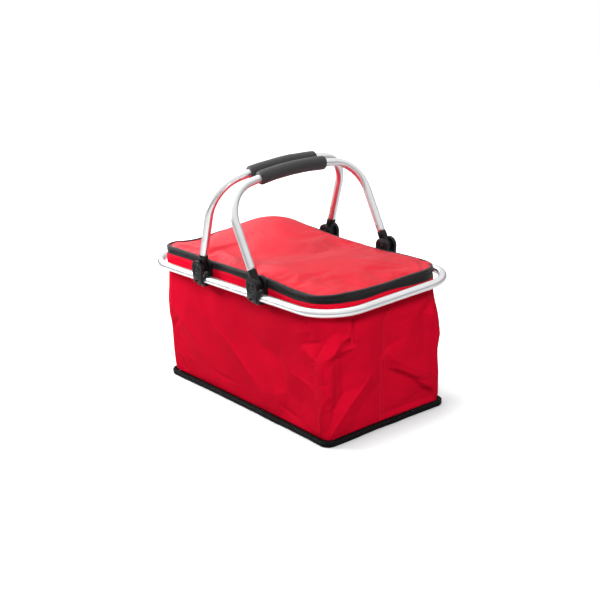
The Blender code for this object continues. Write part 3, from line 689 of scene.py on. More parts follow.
def blur(field):
    """One smoothing pass over a grid whose columns close on themselves."""
    field = 0.25 * np.roll(field, 1, 1) + 0.5 * field + 0.25 * np.roll(field, -1, 1)
    inner = 0.25 * field[:-2] + 0.5 * field[1:-1] + 0.25 * field[2:]
    return np.concatenate([field[:1], inner, field[-1:]], 0)


def faceted(points, creases, s, z):
    """Height over (s, z) of a crumpled sheet: flat facets between named points, sharp at creases."""
    names = list(points)
    flat = [Vector((points[k][0], points[k][1])) for k in names]
    edges = [(names.index(a), names.index(b)) for line in creases for a, b in zip(line, line[1:])]
    verts, _, faces, source, _, _ = delaunay_2d_cdt(flat, edges, [], 0, 1e-6)
    heights = []
    for place, from_points in zip(verts, source):
        if from_points:
            heights.append(points[names[from_points[0]]][2])
        else:  # where creases cross: between the two nearest points
            near = sorted(range(len(flat)), key=lambda k: (flat[k] - place).length)[:2]
            gap = [(flat[k] - place).length + 1e-6 for k in near]
            first, second = (points[names[k]][2] for k in near)
            heights.append((first * gap[1] + second * gap[0]) / (gap[0] + gap[1]))
    out = np.zeros(s.shape)
    for face in faces:
        (ax, ay), (bx, by), (cx, cy) = [verts[k][:] for k in face]
        det = (by - cy) * (ax - cx) + (cx - bx) * (ay - cy)
        if abs(det) < 1e-12:
            continue
        l0 = ((by - cy) * (s - cx) + (cx - bx) * (z - cy)) / det
        l1 = ((cy - ay) * (s - cx) + (ax - cx) * (z - cy)) / det
        l2 = 1 - l0 - l1
        inside = (l0 >= -1e-9) & (l1 >= -1e-9) & (l2 >= -1e-9)
        value = l0 * heights[face[0]] + l1 * heights[face[1]] + l2 * heights[face[2]]
        out = np.where(inside, value, out)
    return out


def distance_to(line, x, y):
    """Distance from each (x, y) to a polyline, and the share of the way along it."""
    best = np.full(x.shape, 1e9)
    share = np.zeros(x.shape)
    line = np.asarray(line, float)
    lengths = np.linalg.norm(np.diff(line, axis=0), axis=1)
    total, start = lengths.sum(), 0.0
    for p, q, length in zip(line[:-1], line[1:], lengths):
        dx, dy = q - p
        t = np.clip(((x - p[0]) * dx + (y - p[1]) * dy) / length ** 2, 0, 1)
        distance = np.hypot(x - p[0] - t * dx, y - p[1] - t * dy)
        closer = distance < best
        best = np.where(closer, distance, best)
        share = np.where(closer, (start + t * length) / total, share)
        start += length
    return best, share


def crease(line, depth, width, x, y):
    """A soft furrow (negative depth) or ridge along a polyline, fading at its ends."""
    distance, share = distance_to(line, x, y)
    fade = np.sin(np.pi * np.clip(share, 0.02, 0.98)) ** 0.6
    return depth * fade * np.exp(-((distance / width) ** 2))


# ------------------------------------------------------------------ the folds of the wall
# Millimetres. s is measured round the basket from the front right corner: up along the +X end,
# down along the front. The rear and the -X end repeat this, turned half way round.
# name: (s, z, height)
FOLDS = {
    # round the front right corner: a nearly level fold, a flap and a pinch
    "f0": (-57, 150, 0.4), "f1": (-30, 157, -2.6), "f2": (-3, 164, -4.6), "f3": (21, 173, -4.2),
    "f4": (39, 167, -1.4),
    "m1": (-26, 193, 1.2), "m2": (-31, 176, -0.2), "m3": (-60, 168, 1.0), "m4": (6, 198, 0.6),
    "m5": (-74, 186, 0.6), "m6": (30, 196, 0.4), "t0": (-52, 146, 1.2), "t1": (-25, 133, 2.8),
    "ya": (-8, 157, -4.6), "yb": (-17, 146, -2.2), "yc": (-23, 135, 0.4),
    "yd": (-4, 156, -2.8), "ye": (-12, 146, 1.0), "yf": (-19, 134, 2.6),
    "g1": (20, 150, 1.0), "g2": (9, 143, 3.6), "g3": (-1, 138, 5.0), "g5": (31, 158, -1.2),
    "r1": (-6, 123, 5.6), "r2": (-2, 108, 5.6), "r3": (-1, 90, 6.2), "r4": (0, 80, 6.4),
    "r5": (-6, 63, 5.0), "r6": (-10, 50, 4.0), "r7": (-16, 14, 0.8),
    "d1": (18, 133, -3.4), "d2": (19, 104, -2.6), "d3": (19, 78, -2.2), "d4": (14, 53, -2.2),
    "d5": (3, 30, -1.0),
    "e1": (36, 131, -6.4), "e2": (40, 100, -8.2), "e3": (39, 74, -6.6), "e4": (62, 104, -1.2),
    "e5": (60, 128, -1.0),
    "l0": (0, 10, 0.6), "l1": (12, 27, 2.0), "l2": (28, 43, 2.8), "l3": (43, 56, 2.0),
    "l4": (72, 78, 1.4), "l5": (92, 96, 0.4), "l6": (60, 38, -0.8), "l7": (84, 60, -0.6),
    "l8": (56, 20, -0.4),
    "v0": (54, 190, -2.0), "va": (53, 170, -4.8), "v1": (53, 153, -3.4), "v2": (48, 190, 1.0),
    "vb": (46, 176, 1.6), "v3": (44, 163, 1.4), "v4": (59, 172, 1.0), "vc": (61, 188, 0.6),
    "vd": (58, 154, 0.4), "w1": (31, 143, -2.4), "w2": (58, 142, -0.6),
    "q1": (-89, 98, 1.8), "q2": (-40, 89, 1.4), "q3": (-26, 77, 1.6), "q4": (-17, 59, 1.8),
    "q5": (-17, 45, 1.6), "q6": (-18, 10, 0.6), "qm": (-63, 52, -1.6), "qa": (-100, 62, -1.2),
    "qb": (-60, 20, -0.8), "qc": (-104, 30, -1.0), "qn": (-66, 123, 0.4), "qo": (-32, 114, 1.0),
    # the end's middle seam, and the fold that hangs to the rear of it
    "s0": (126, 192, 0.0), "s1": (119, 173, -0.8), "s2": (115, 145, -1.4), "s3": (116, 123, -1.8),
    "s4": (110, 109, -1.8), "s5": (109, 75, -1.4), "s6": (107, 38, -0.8), "s7": (107, 12, -0.4),
    "o0": (120, 118, 1.0), "o1": (129, 104, 2.8), "o2": (145, 92, 3.2), "o3": (167, 78, 3.4),
    "o4": (188, 66, 3.6),
    "j1": (143, 83, 2.6), "j2": (165, 69, 3.2), "j3": (178, 61, 3.2), "j4": (184, 54, 3.0),
    "j5": (194, 43, 3.6), "j6": (204, 37, 3.6), "j7": (214, 26, 2.0),
    "k0": (119, 90, -2.0), "k1": (143, 77, -1.8), "k2": (165, 63, -1.2), "k3": (176, 56, -1.0),
    "k4": (180, 49, -1.0), "k5": (189, 38, -1.4), "k6": (199, 32, -1.8), "k7": (208, 21, -1.4),
    "k8": (214, 11, -0.4),
    "n1": (143, 49, -1.6), "n2": (176, 30, -2.0), "n3": (112, 15, -0.6), "n4": (163, 14, -1.0),
    "n5": (198, 13, -0.8), "n6": (126, 62, -2.0),
    "x1": (196, 160, -1.2), "x9": (199, 130, -2.4), "x5": (196, 107, -1.8), "x2": (213, 154, 2.4),
    "x3": (214, 126, -0.8), "x4": (224, 119, 4.4), "x6": (212, 78, -0.8), "x7": (219, 92, 0.4),
    "x8": (216, 56, 2.2), "xa": (222, 180, -1.4), "xb": (206, 192, 0.4),
    "u1": (157, 133, 2.0), "u2": (177, 157, 1.0), "u6": (182, 90, 1.4), "u5": (82, 126, 0.8),
    "u7": (80, 100, -0.2), "u8": (84, 186, 1.4), "u9": (146, 180, 1.2), "ua": (80, 150, 1.0),
    "ub": (100, 170, 0.2), "uc": (96, 50, -0.4), "ud": (94, 26, 0.2),
    # the long front: wide soft planes either side of one diagonal
    "a1": (-418, 172, 0.6), "a2": (-394, 138, 1.8), "a3": (-376, 116, 2.2), "a4": (-343, 83, 1.6),
    "a5": (-310, 52, 0.8),
    "b1": (-226, 178, -0.6), "b2": (-208, 149, -1.6), "b3": (-165, 121, -2.8),
    "b4": (-120, 108, -2.8),
    "c1": (-240, 104, 1.4), "c2": (-195, 67, 2.0), "c3": (-163, 43, 1.6), "c4": (-152, 24, 0.6),
    "h1": (-290, 124, 1.2), "h2": (-300, 170, -0.8), "h3": (-130, 160, 1.0), "h4": (-150, 70, 0.6),
    "h5": (-124, 48, 1.6), "h6": (-250, 60, -0.4), "h7": (-360, 40, -0.8), "h8": (-404, 90, -1.4),
    "h9": (-404, 44, 0.6), "h10": (-104, 132, 0.6), "h11": (-350, 150, 1.4),
    "h12": (-384, 20, -0.6), "h13": (-210, 30, -0.4), "h15": (-260, 190, 0.0),
}
# the named points each sharp crease runs through
CREASES = [line.split() for line in """
f0 f1 f2 f3 f4, f0 t0 t1, ya yb yc, yd ye yf, f4 g5 g1 g2 g3, t1 yf, m1 m2 f1,
g3 r1 r2 r3 r4 r5 r6 r7, d1 d2 d3 d4 d5, l0 l1 l2 l3 l4 l5, v0 va v1, v2 vb v3, vc v4 vd,
e1 e2 e3, q1 q2 q3 q4 q5 q6, s0 s1 s2 s3 s4 s5 s6 s7, s3 o0 o1 o2 o3 o4,
o1 j1 j2 j3 j4 j5 j6 j7, k0 k1 k2 k3 k4 k5 k6 k7 k8, x1 x9 x5 x6, x2 x3 x6, x2 x4 x7,
b1 b2 b3 b4, c1 c2 c3 c4, a1 a2 a3 a4
""".split(",")]
FOLD_LOW, FOLD_HIGH, FOLD_LEFT, FOLD_RIGHT = 4, 208, -460, 290  # flat border of the folded sheet
# (s, z) of the sewn seam down the end's middle, from the bottom
END_SEAM = np.array((
    (107, 0), (107, 38), (109, 75), (110, 109), (116, 123), (115, 145), (119, 173), (126, 192),
    (129, 215),
), float)
# (height, width, [(s, z), ...]) of the finer ridges and furrows
FINE_LINES = (
    # along the front
    (1.0, 3.5, [(-240, 103), (-195, 66), (-163, 42), (-153, 22)]),
    (0.9, 7, [(-290, 124), (-256, 107), (-217, 82), (-195, 66)]),
    (1.2, 9, [(-413, 170), (-394, 138), (-376, 116), (-343, 83)]),
    (-1.2, 4, [(-408, 42), (-385, 14)]),
    (-1.4, 5, [(-378, 118), (-396, 104), (-412, 92)]),
    (-0.8, 10, [(-165, 121), (-120, 108), (-80, 98)]),
    # near the front right corner
    (-1.0, 2.2, [(-59, 150), (-30, 157.5), (-3, 164.5), (21, 173.5)]),
    (-1.0, 2.0, [(-6, 160), (-17, 146), (-24, 133)]),
    (0.7, 2.4, [(36, 164), (31, 157), (20, 149), (9, 142), (-1, 137), (-6, 122)]),
    (0.8, 2.0, [(-6, 123), (-2, 108), (-2, 90), (0, 80), (-8, 63), (-13, 50), (-16, 16)]),
    (0.9, 2.2, [(2, 12), (12, 27), (28, 43), (43, 56), (72, 78), (90, 94)]),
    (-1.4, 2.2, [(54, 196), (53, 170), (53, 152)]),
    (0.8, 2.4, [(48, 190), (45, 172), (43, 158)]),
    (0.7, 2.8, [(-95, 100), (-40, 90), (-26, 78), (-17, 60), (-17, 44), (-18, 12)]),
    (-0.8, 2.2, [(-3, 52), (10, 56), (36, 57)]),
    (-0.8, 2.6, [(4, 126), (18, 133), (34, 130)]),
    (-0.7, 2.2, [(-40, 128), (-24, 131), (-12, 132)]),
    (-0.8, 4.0, [(-34, 186), (-36, 172), (-46, 158)]),
    (-0.9, 2.2, [(4, 104), (0, 100), (-12, 98)]),
    (-1.0, 2.4, [(40, 150), (48, 147), (62, 150)]),
    # the +X end, most of it to the rear of the seam
    (-1.4, 1.8, [(119, 91), (143, 77.5), (165, 63.5), (176, 56.5), (180, 50), (189, 38.5),
                 (199, 33), (208, 21)]),
    (0.7, 2.6, [(118, 121), (128, 106), (142, 94), (150, 89)]),
    (-1.0, 2.2, [(178, 60), (190, 52), (200, 50)]),
    (1.0, 2.4, [(196, 108), (204, 94), (213, 77)]),
    (1.0, 2.2, [(210, 156), (211, 140), (214, 126)]),
    (-1.0, 5.0, [(110, 20), (163, 19), (208, 18)]),
    (-0.6, 3.0, [(136, 30), (160, 26), (190, 28)]),
    (-0.6, 5.0, [(130, 168), (150, 160), (168, 162)]),
    (-0.6, 4.0, [(120, 140), (136, 132), (146, 118)]),
    (0.5, 6.0, [(68, 118), (80, 100), (84, 80)]),
    # along the front again
    (0.6, 10, [(-330, 188), (-318, 150), (-300, 118)]),
    (-0.8, 4.0, [(-300, 40), (-270, 34), (-240, 36)]),
    (-0.8, 4.0, [(-120, 34), (-96, 26), (-70, 24)]),
    (-0.8, 3.6, [(-380, 60), (-366, 50), (-352, 48)]),
)


def fold_heights(s, z):
    points = dict(FOLDS)
    for k, place in enumerate(range(FOLD_LEFT, 300, 24)):
        points["bottom%d" % k] = (place, FOLD_LOW, 0.0)
        points["top%d" % k] = (place, FOLD_HIGH, 0.0)
    for name, place in (("left", FOLD_LEFT), ("right", FOLD_RIGHT)):
        for k, height in enumerate((50, 95, 140, 180)):
            points["%s%d" % (name, k)] = (place, height, 0.0)
    return faceted(points, CREASES, s, z)


def seam_place(z):
    return np.interp(z, END_SEAM[:, 1], END_SEAM[:, 0])


def fine_heights(s, z):
    """The sewn seam, a ridge beside a furrow, and the fine lines."""
    distance, _ = distance_to(END_SEAM, s, z)
    welt = distance * np.sign(s - seam_place(z))
    out = 1.3 * np.exp(-(((welt - 1.4) / 1.4) ** 2)) - 1.2 * np.exp(-(((welt + 1.6) / 1.4) ** 2))
    for height, width, line in FINE_LINES:
        out = out + crease(line, height, width, s, z)
    return out


def turned(points, amount=1.0):
    """Points turned and moved as the soft base sits; the amount fades it out up the wall."""
    c, s = math.cos(TWIST * amount), math.sin(TWIST * amount)
    x, y = points[..., 0], points[..., 1]
    drawn_x = x * (1 - DRAW_IN_X * amount * np.clip(1 - (y / BASE_Y) ** 2, 0, 1))
    drawn_y = y * (1 - DRAW_IN_Y * amount * np.clip(1 - (x / BASE_X) ** 2, 0, 1))
    return np.stack([
        drawn_x * c - drawn_y * s + SHIFT_X * amount,
        drawn_x * s + drawn_y * c + SHIFT_Y * amount,
    ], -1)


def turned_normals(normals, amount=1.0):
    c, s = math.cos(TWIST * amount), math.sin(TWIST * amount)
    x, y = normals[:, 0], normals[:, 1]
    return np.stack([x * c - y * s, x * s + y * c], -1)


def along_wall(half_x, half_y, corner):
    """s of each column of an outline, in metres."""
    rear_right, rear_left, front_left, front_right = corner
    across, down = 2 * half_y, -2 * half_x
    parts = (
        (front_right, across - rear_right, Y_STEPS),
        (across - rear_right, across + rear_right, CORNER_STEPS),
        (down + rear_right, -rear_left, X_STEPS),
        (-rear_left, rear_left, CORNER_STEPS),
        (rear_left, across - front_left, Y_STEPS),
        (across - front_left, across + front_left, CORNER_STEPS),
        (down + front_left, -front_right, X_STEPS),
        (-front_right, front_right, CORNER_STEPS),
    )
    return np.concatenate([np.linspace(a, b, n, endpoint=False) for a, b, n in parts])


def round_turn():
    """Share of the way round the rear right and front left corners, zero elsewhere. There the
    end's folds give way to the long side's."""
    share = np.zeros(COLUMNS)
    for start in (Y_STEPS, LEFT_END + Y_STEPS):
        share[start:start + CORNER_STEPS] = np.linspace(0, 1, CORNER_STEPS, endpoint=False)
    return soft_step(share)[None]


def wall_surface(inset, low, high, rows, depth=1.0, seed=3):
    """Points (rows, columns, 3) of the tub's side with its folds at some depth, and their s."""
    z = np.linspace(low, high, rows)
    share = (z - WALL_LOW) / (WALL_TOP - WALL_LOW)
    flat, normal = np.zeros((rows, COLUMNS, 2)), np.zeros((rows, COLUMNS, 2))
    s = np.zeros((rows, COLUMNS))
    for i, f in enumerate(share):
        corner = BASE_CORNER + (MOUTH_CORNER - BASE_CORNER) * f ** 2.4
        corner = np.maximum(corner - inset, 0.004)
        half_x = BASE_X + (TAPE_X - BASE_X) * f - inset
        half_y = BASE_Y + (TAPE_Y - BASE_Y) * f - inset
        points, facing = outline(half_x, half_y, corner)
        s[i] = along_wall(half_x, half_y, corner)
        flat[i], normal[i] = turned(points, 1 - f), turned_normals(facing, 1 - f)
    s_mm = s * 1000.0
    z_mm = np.broadcast_to(z[:, None], (rows, COLUMNS)) * 1000.0
    turn = round_turn()
    folds = fold_heights(s_mm, z_mm) * (1 - turn)
    folds = 1.42 * (folds + fold_heights(s_mm - 2000.0 * (BASE_X + BASE_Y), z_mm) * turn)
    folds = 0.35 * blur(folds) + 0.65 * folds
    fine = fine_heights(s_mm, z_mm) * (1 - turn)
    fine = 0.4 * blur(fine) + 0.6 * fine
    puff = (smooth_noise((rows, COLUMNS), (5, 26), seed) * 0.0007
            + smooth_noise((rows, COLUMNS), (14, 90), seed + 1) * 0.00022)
    fade = soft_step(np.minimum(share / 0.05, (1 - share) / 0.04))[:, None]
    height = (0.001 * (folds + 1.5 * fine) + puff) * fade * depth
    points = np.zeros((rows, COLUMNS, 3))
    points[..., :2] = flat + normal * height[..., None]
    points[..., 2] = z[:, None]
    return points, s


def offset_surface(points, distance):
    """A closed-column surface moved inwards along its own normals."""
    du = np.roll(points, -1, 1) - np.roll(points, 1, 1)
    dv = np.gradient(points, axis=0)
    return points - unit(np.cross(du, dv)) * distance


# ------------------------------------------------------------------ how the soft mouth hangs
# (x, y, height of the lid's edge, height of the zip tape's lower edge), round the mouth
HANG = np.array((
    (0.213, -0.090, 0.2326, 0.2186), (0.213, -0.073, 0.2306, 0.2167),
    (0.213, -0.045, 0.2284, 0.2139), (0.213, 0.000, 0.2264, 0.2145),
    (0.213, 0.030, 0.2268, 0.2128), (0.213, 0.056, 0.2270, 0.2105),
    (0.213, 0.080, 0.2262, 0.2097), (0.200, 0.108, 0.2256, 0.2095),
    (0.178, 0.122, 0.2251, 0.2094), (0.148, 0.122, 0.2258, 0.2105),
    (0.110, 0.122, 0.2252, 0.2130), (0.075, 0.122, 0.2234, 0.2130),
    (0.030, 0.122, 0.2236, 0.2140), (-0.030, 0.122, 0.2262, 0.2160),
    (-0.090, 0.122, 0.2316, 0.2216), (-0.127, 0.122, 0.2338, 0.2228),
    (-0.165, 0.122, 0.2336, 0.2222), (-0.200, 0.108, 0.2318, 0.2205),
    (-0.213, 0.065, 0.2296, 0.2170), (-0.213, 0.005, 0.2312, 0.2170),
    (-0.213, -0.040, 0.2282, 0.2160), (-0.213, -0.072, 0.2306, 0.2190),
    (-0.204, -0.104, 0.2366, 0.2238), (-0.176, -0.122, 0.2384, 0.2265),
    (-0.146, -0.122, 0.2381, 0.2276), (-0.110, -0.122, 0.2384, 0.2272),
    (-0.066, -0.122, 0.2366, 0.2248), (-0.023, -0.122, 0.2362, 0.2262),
    (0.029, -0.122, 0.2366, 0.2250), (0.072, -0.122, 0.2380, 0.2236),
    (0.110, -0.122, 0.2352, 0.2200), (0.145, -0.122, 0.2326, 0.2172),
    (0.176, -0.122, 0.2312, 0.2190), (0.198, -0.112, 0.2318, 0.2206),
    (0.208, -0.101, 0.2330, 0.2200),
))
mouth = outline(MOUTH_X, MOUTH_Y, MOUTH_CORNER)


def nearest_columns(xy):
    return np.array([int(np.argmin(((mouth[0] - p) ** 2).sum(1))) for p in xy])


def around_mouth(values):
    """Values at the HANG places spread over every column, smoothly."""
    where = nearest_columns(HANG[:, :2])
    order = np.argsort(where)
    spread = np.interp(np.arange(COLUMNS), where[order], values[order], period=COLUMNS)
    for _ in range(60):
        spread = 0.25 * np.roll(spread, 1) + 0.5 * spread + 0.25 * np.roll(spread, -1)
    return spread


TOP_AT, LOW_AT = around_mouth(HANG[:, 2]), around_mouth(HANG[:, 3])


def hang_z(z, low, top):
    """Where a height of the flat mouth goes once its tape and lid edge hang at low and top."""
    drop, lift = np.maximum(TAPE_LOW - low, 0), np.maximum(low - TAPE_LOW, 0)
    below = (z - drop * soft_step((z - 0.150) / (TAPE_LOW - 0.150))
             + lift * soft_step((z - 0.2066) / (TAPE_LOW - 0.2066)))
    between = low + (z - TAPE_LOW) / (LID_EDGE - TAPE_LOW) * (top - low)
    return np.where(z < TAPE_LOW, below, np.where(z < LID_EDGE, between, top + z - LID_EDGE))


def hang(points, columns=slice(None)):
    """The same for points whose last index but one runs along the columns."""
    hung = np.array(points, float)
    hung[..., 2] = hang_z(hung[..., 2], LOW_AT[columns], TOP_AT[columns])
    return hung


def edge_sag(grid):
    """How far each place of a lid grid sinks with its border."""
    borders = (grid[0], grid[-1], grid[:, 0], grid[:, -1])
    return span_sides(*[LID_EDGE - TOP_AT[nearest_columns(line)] for line in borders])


# ------------------------------------------------------------------ wall and lining
wall_flat, wall_s = wall_surface(inset=0.0, low=WALL_LOW, high=WALL_TOP, rows=WALL_ROWS)
wall_outside = hang(wall_flat)
wall_inside = offset_surface(wall_outside, CLOTH)
wall_inside[..., 2] = np.maximum(wall_inside[..., 2], WALL_LOW)
wall_inside = wall_inside[np.unique(np.linspace(0, WALL_ROWS - 1, 26).astype(int))]
wall = sweep("tub_wall", np.concatenate([wall_outside, wall_inside[::-1]]), RED)
register(wall, "red_polyester", "shell_front", "shell_rear")

lining_outside, _ = wall_surface(inset=0.0110, low=0.0150, high=0.2050, rows=60, depth=0.35, seed=11)
lining_outside = hang(lining_outside)
lining_inside = offset_surface(lining_outside, 0.0008)
lining = sweep("tub_lining", np.concatenate([lining_inside[::-1], lining_outside]), FOIL, flip=True)
register(lining, "silver_lining", "lining", "foam_front", "foam_rear")

# ------------------------------------------------------------------ floor and base


def laid(points):
    """Points turned in plan with the base."""
    made = np.array(points)
    made[..., :2] = turned(made[..., :2])
    return made


def plate(name, grid, top, bottom, material, bulge=0.0015):
    """A panel turned with the base, between two heights, its edge rounded out by the bulge."""
    upper, lower = (np.dstack([grid, np.broadcast_to(z, grid.shape[:2])]) for z in (top, bottom))
    loop = grid_border(*grid.shape[:2])
    border = grid.reshape(-1, 2)[loop]
    forward = unit(border - np.roll(border, 1, 0))
    outward = np.stack([forward[:, 1], -forward[:, 0]], -1)
    outward = unit(outward + np.roll(outward, -1, 0))
    rings = []
    for share in (0.25, 0.5, 0.75):
        ring = upper.reshape(-1, 3)[loop] * (1 - share) + lower.reshape(-1, 3)[loop] * share
        ring[:, :2] += outward * bulge * math.sin(math.pi * share)
        rings.append(laid(ring))
    return closed_sheet(name, laid(upper), laid(lower), material, rings)


def base_grid(inset, corner, columns, rows):
    return rounded_grid(BASE_X - inset, BASE_Y - inset, corner, columns, rows)


floor_grid = base_grid(inset=0.0112, corner=0.008, columns=110, rows=60)
floor_top = 0.0146 + 0.00045 * waves(floor_grid, size=0.075, seed=5)
lining_floor = plate("lining_floor", floor_grid, floor_top, 0.0128, FOIL)
register(lining_floor, "silver_lining", "foam_bottom")

board_grid = base_grid(inset=0.0060, corner=0.012, columns=60, rows=34)
board = plate("base_insert", board_grid, 0.0118, 0.0018, BOARD)
register(board, "base_board", "base_board")

under_grid = base_grid(inset=0.0012, corner=0.014, columns=100, rows=56)
under_low = 0.0006 + 0.00022 * waves(under_grid, size=0.05, seed=8)
bottom_cloth = plate("bottom_cloth", under_grid, 0.0016, under_low, BINDING, bulge=0.0005)
register(bottom_cloth, "black_binding", "bottom_panel")

# The binding round the base: a flat-sided loop of webbing that wanders a little.
PIPING_SIDES, PIPING_OUT, PIPING_UP = 20, 0.0029, 0.0049  # half thickness, half height
PIPING_Z, PIPING_STANDS_OUT = 0.0052, 0.0010
base_points, base_normals = outline(BASE_X + 0.0022, BASE_Y + 0.0032, BASE_CORNER + 0.001)
base_edge = turned(base_points), turned_normals(base_normals)
wander_out = noise_line(cells=46, seed=31) * 0.0006 + noise_line(cells=150, seed=32) * 0.00022
wander_up = noise_line(cells=40, seed=33) * 0.00055
tall = 1.0 + noise_line(cells=60, seed=34) * 0.045
piping_rows = []
for k in range(PIPING_SIDES):
    angle = 2 * math.pi * k / PIPING_SIDES
    c, s = math.cos(angle), math.sin(angle)
    out = math.copysign(abs(c) ** 0.75, c) * PIPING_OUT
    up = math.copysign(abs(s) ** 0.62, s) * PIPING_UP
    z = PIPING_Z + up * tall + wander_up * (1 if up > 0 else 0.25)
    z = np.maximum(z, 0.0003)
    piping_rows.append(beside(base_edge, out + PIPING_STANDS_OUT + wander_out, z))
piping = sweep("base_binding", piping_rows, BINDING)
register(piping, "black_binding", "base_piping")

# ------------------------------------------------------------------ mouth band and zip tapes
# each profile is a closed list of (out, z)
BAND_FOOT, BAND_HEIGHT = 0.2048, 0.0138
BAND_PROFILE = (
    (-0.0002, 0.2048), (0.0006, 0.2066), (0.0013, 0.2090), (0.0016, 0.2120), (0.0014, 0.2150),
    (0.0009, 0.2172), (0.0000, 0.2186), (-0.0014, 0.2192), (-0.0040, 0.2190), (-0.0090, 0.2186),
    (-0.0128, 0.2176), (-0.0138, 0.2150), (-0.0138, 0.2080), (-0.0130, 0.2050),
    (-0.0090, 0.2048), (-0.0040, 0.2048),
)
LOWER_TAPE_PROFILE = (
    (0.0004, 0.2180), (0.0009, 0.2190), (0.0007, 0.2206), (0.0000, 0.2225), (-0.0003, 0.2245),
    (0.0000, 0.2262), (-0.0010, 0.2263), (-0.0014, 0.2245), (-0.0012, 0.2222),
    (-0.0008, 0.2200), (-0.0010, 0.2182),
)
UPPER_TAPE_PROFILE = (
    (0.0000, 0.2297), (0.0006, 0.2306), (0.0010, 0.2322), (0.0013, 0.2338), (0.0017, 0.2350),
    (0.0015, 0.2364), (0.0006, 0.2374), (-0.0008, 0.2380), (-0.0026, 0.2382), (-0.0042, 0.2379),
    (-0.0044, 0.2370), (-0.0022, 0.2358), (-0.0014, 0.2340), (-0.0014, 0.2318),
    (-0.0012, 0.2300),
)
# (y, z) of the hinge strip's section
HINGE_PROFILE = (
    (0.1220, 0.2242), (0.1223, 0.2262), (0.1226, 0.2290), (0.1224, 0.2318), (0.1221, 0.2346),
    (0.1212, 0.2346), (0.1214, 0.2318), (0.1216, 0.2290), (0.1212, 0.2262), (0.1211, 0.2242),
)


def share_up(z, foot, height):
    return min(max((z - foot) / height, 0), 1)


# the long sides lie calmer near the handle brackets
near_bracket = np.minimum(np.abs(np.abs(mouth[0][:, 0]) - PIVOT_X), 0.03) / 0.03
calm = np.where(np.abs(mouth[1][:, 1]) > 0.9, 0.25 + 0.75 * near_bracket, 1.0)
ripple = noise_line(cells=44, seed=41) * 0.0007 + noise_line(cells=120, seed=42) * 0.00025
ripple = ripple * calm
band_rows = []
for out, z in BAND_PROFILE:
    if out > -0.001:  # only the outer face ripples
        swell = math.sin(math.pi * share_up(z, BAND_FOOT, BAND_HEIGHT))
        out = out + ripple * (0.3 + 0.7 * swell)
    band_rows.append(beside(mouth, out, z))
band = sweep("mouth_band_cloth", hang(band_rows), RED)
register(band, "red_polyester", "mouth_band")

tape_edge = outline(TAPE_X, TAPE_Y, TAPE_CORNER)
dip = noise_line(cells=34, seed=51) * 0.0005 * calm
lower_rows = [beside(tape_edge, out + dip, z) for out, z in LOWER_TAPE_PROFILE]
lower_tape = sweep("zip_tape_lower_cloth", hang(lower_rows), ZIP_TAPE)
register(lower_tape, "black_binding", "zip_tape_lower")

# ------------------------------------------------------------------ zip coil
COIL_PITCH, COIL_OUT, COIL_GAP, COIL_HEIGHT = 0.0015, 0.0005, 0.00008, 0.0021
TOOTH_SIDE, TOOTH_OUT = 0.00052, 0.0009  # half sizes along the tape and out of it
TOOTH_SECTION = ((-1, -0.4), (-0.45, 0.8), (0.45, 0.8), (1, -0.4), (0.5, -1.0), (-0.5, -1.0))


def zip_columns():
    """Columns of the zip's run: from the rear left, round the front, to the rear right."""
    x, y = tape_edge[0].T
    rear = y > MOUTH_Y - 0.004
    start = int(np.argmin(np.where(rear & (x < 0), np.abs(x + HINGE_HALF), 9)))
    order = np.roll(np.arange(COLUMNS), -start)
    beside_hinge = rear & (np.abs(x) < HINGE_HALF)
    return order[~beside_hinge[order] | (order == start)]


zip_run = zip_columns()
run_edge = tape_edge[0][zip_run], tape_edge[1][zip_run]


def coil(name, low_z, high_z, phase=0.0):
    """One half of the zip's coil: a row of small rounded teeth on a cord."""
    points, normals = run_edge
    distance = run_length(points)
    half = (high_z - low_z) / 2
    rings = ((low_z, 0.55), (low_z + 0.35 * half, 1.0), (high_z - 0.35 * half, 1.0), (high_z, 0.55))
    verts, faces = [], []
    for k in range(int(distance[-1] / COIL_PITCH) - 2):
        mark = (k + 1 + phase) * COIL_PITCH
        place = sample(mark, distance, points)
        outward = unit(sample(mark, distance, normals))
        forward = np.array([-outward[1], outward[0]])
        low, top = (np.interp(mark, distance, heights[zip_run]) for heights in (LOW_AT, TOP_AT))
        faces += bead_faces(len(verts), sides=6, flip=True)
        for z, width in rings:
            hung = float(hang_z(z, low, top))
            for a, b in TOOTH_SECTION:
                x, y = (place + forward * a * TOOTH_SIDE * width
                        + outward * (COIL_OUT + b * TOOTH_OUT * width))
                verts.append([x, y, hung])
    teeth = put(name + "_teeth", verts, faces, COIL, zero_uv(faces))
    cord_rows = [
        beside(run_edge, COIL_OUT - 0.0007 + 0.0009 * math.cos(t),
               (low_z + high_z) / 2 + (half - 0.0001) * math.sin(t))
        for t in np.linspace(0, 2 * math.pi, 10, endpoint=False)
    ]
    cord = sweep(name + "_cord", hang(cord_rows, zip_run), COIL, closed=False)
    return join(name, [cord, teeth])


coil_low = coil("zip_coil_lower", TAPE_SPLIT - COIL_HEIGHT, TAPE_SPLIT - COIL_GAP)
register(coil_low, "black_plastic", "zip_chain_lower")
coil_up = coil("zip_coil_upper", TAPE_SPLIT + COIL_GAP, TAPE_SPLIT + COIL_HEIGHT, phase=0.5)
register(coil_up, "black_plastic", "zip_chain_upper")

# upper half of the tape with the binding that wraps the lid's edge
sway = noise_line(cells=40, seed=61) * 0.0005 * calm
bob = noise_line(cells=26, seed=62) * 0.0006
upper_rows = [
    beside(tape_edge, out + sway, z + bob * share_up(z, foot=0.2300, height=0.007))
    for out, z in UPPER_TAPE_PROFILE
]
upper_tape = sweep("lid_edge_binding", hang(upper_rows), ZIP_TAPE)
register(upper_tape, "black_binding", "zip_tape_upper")

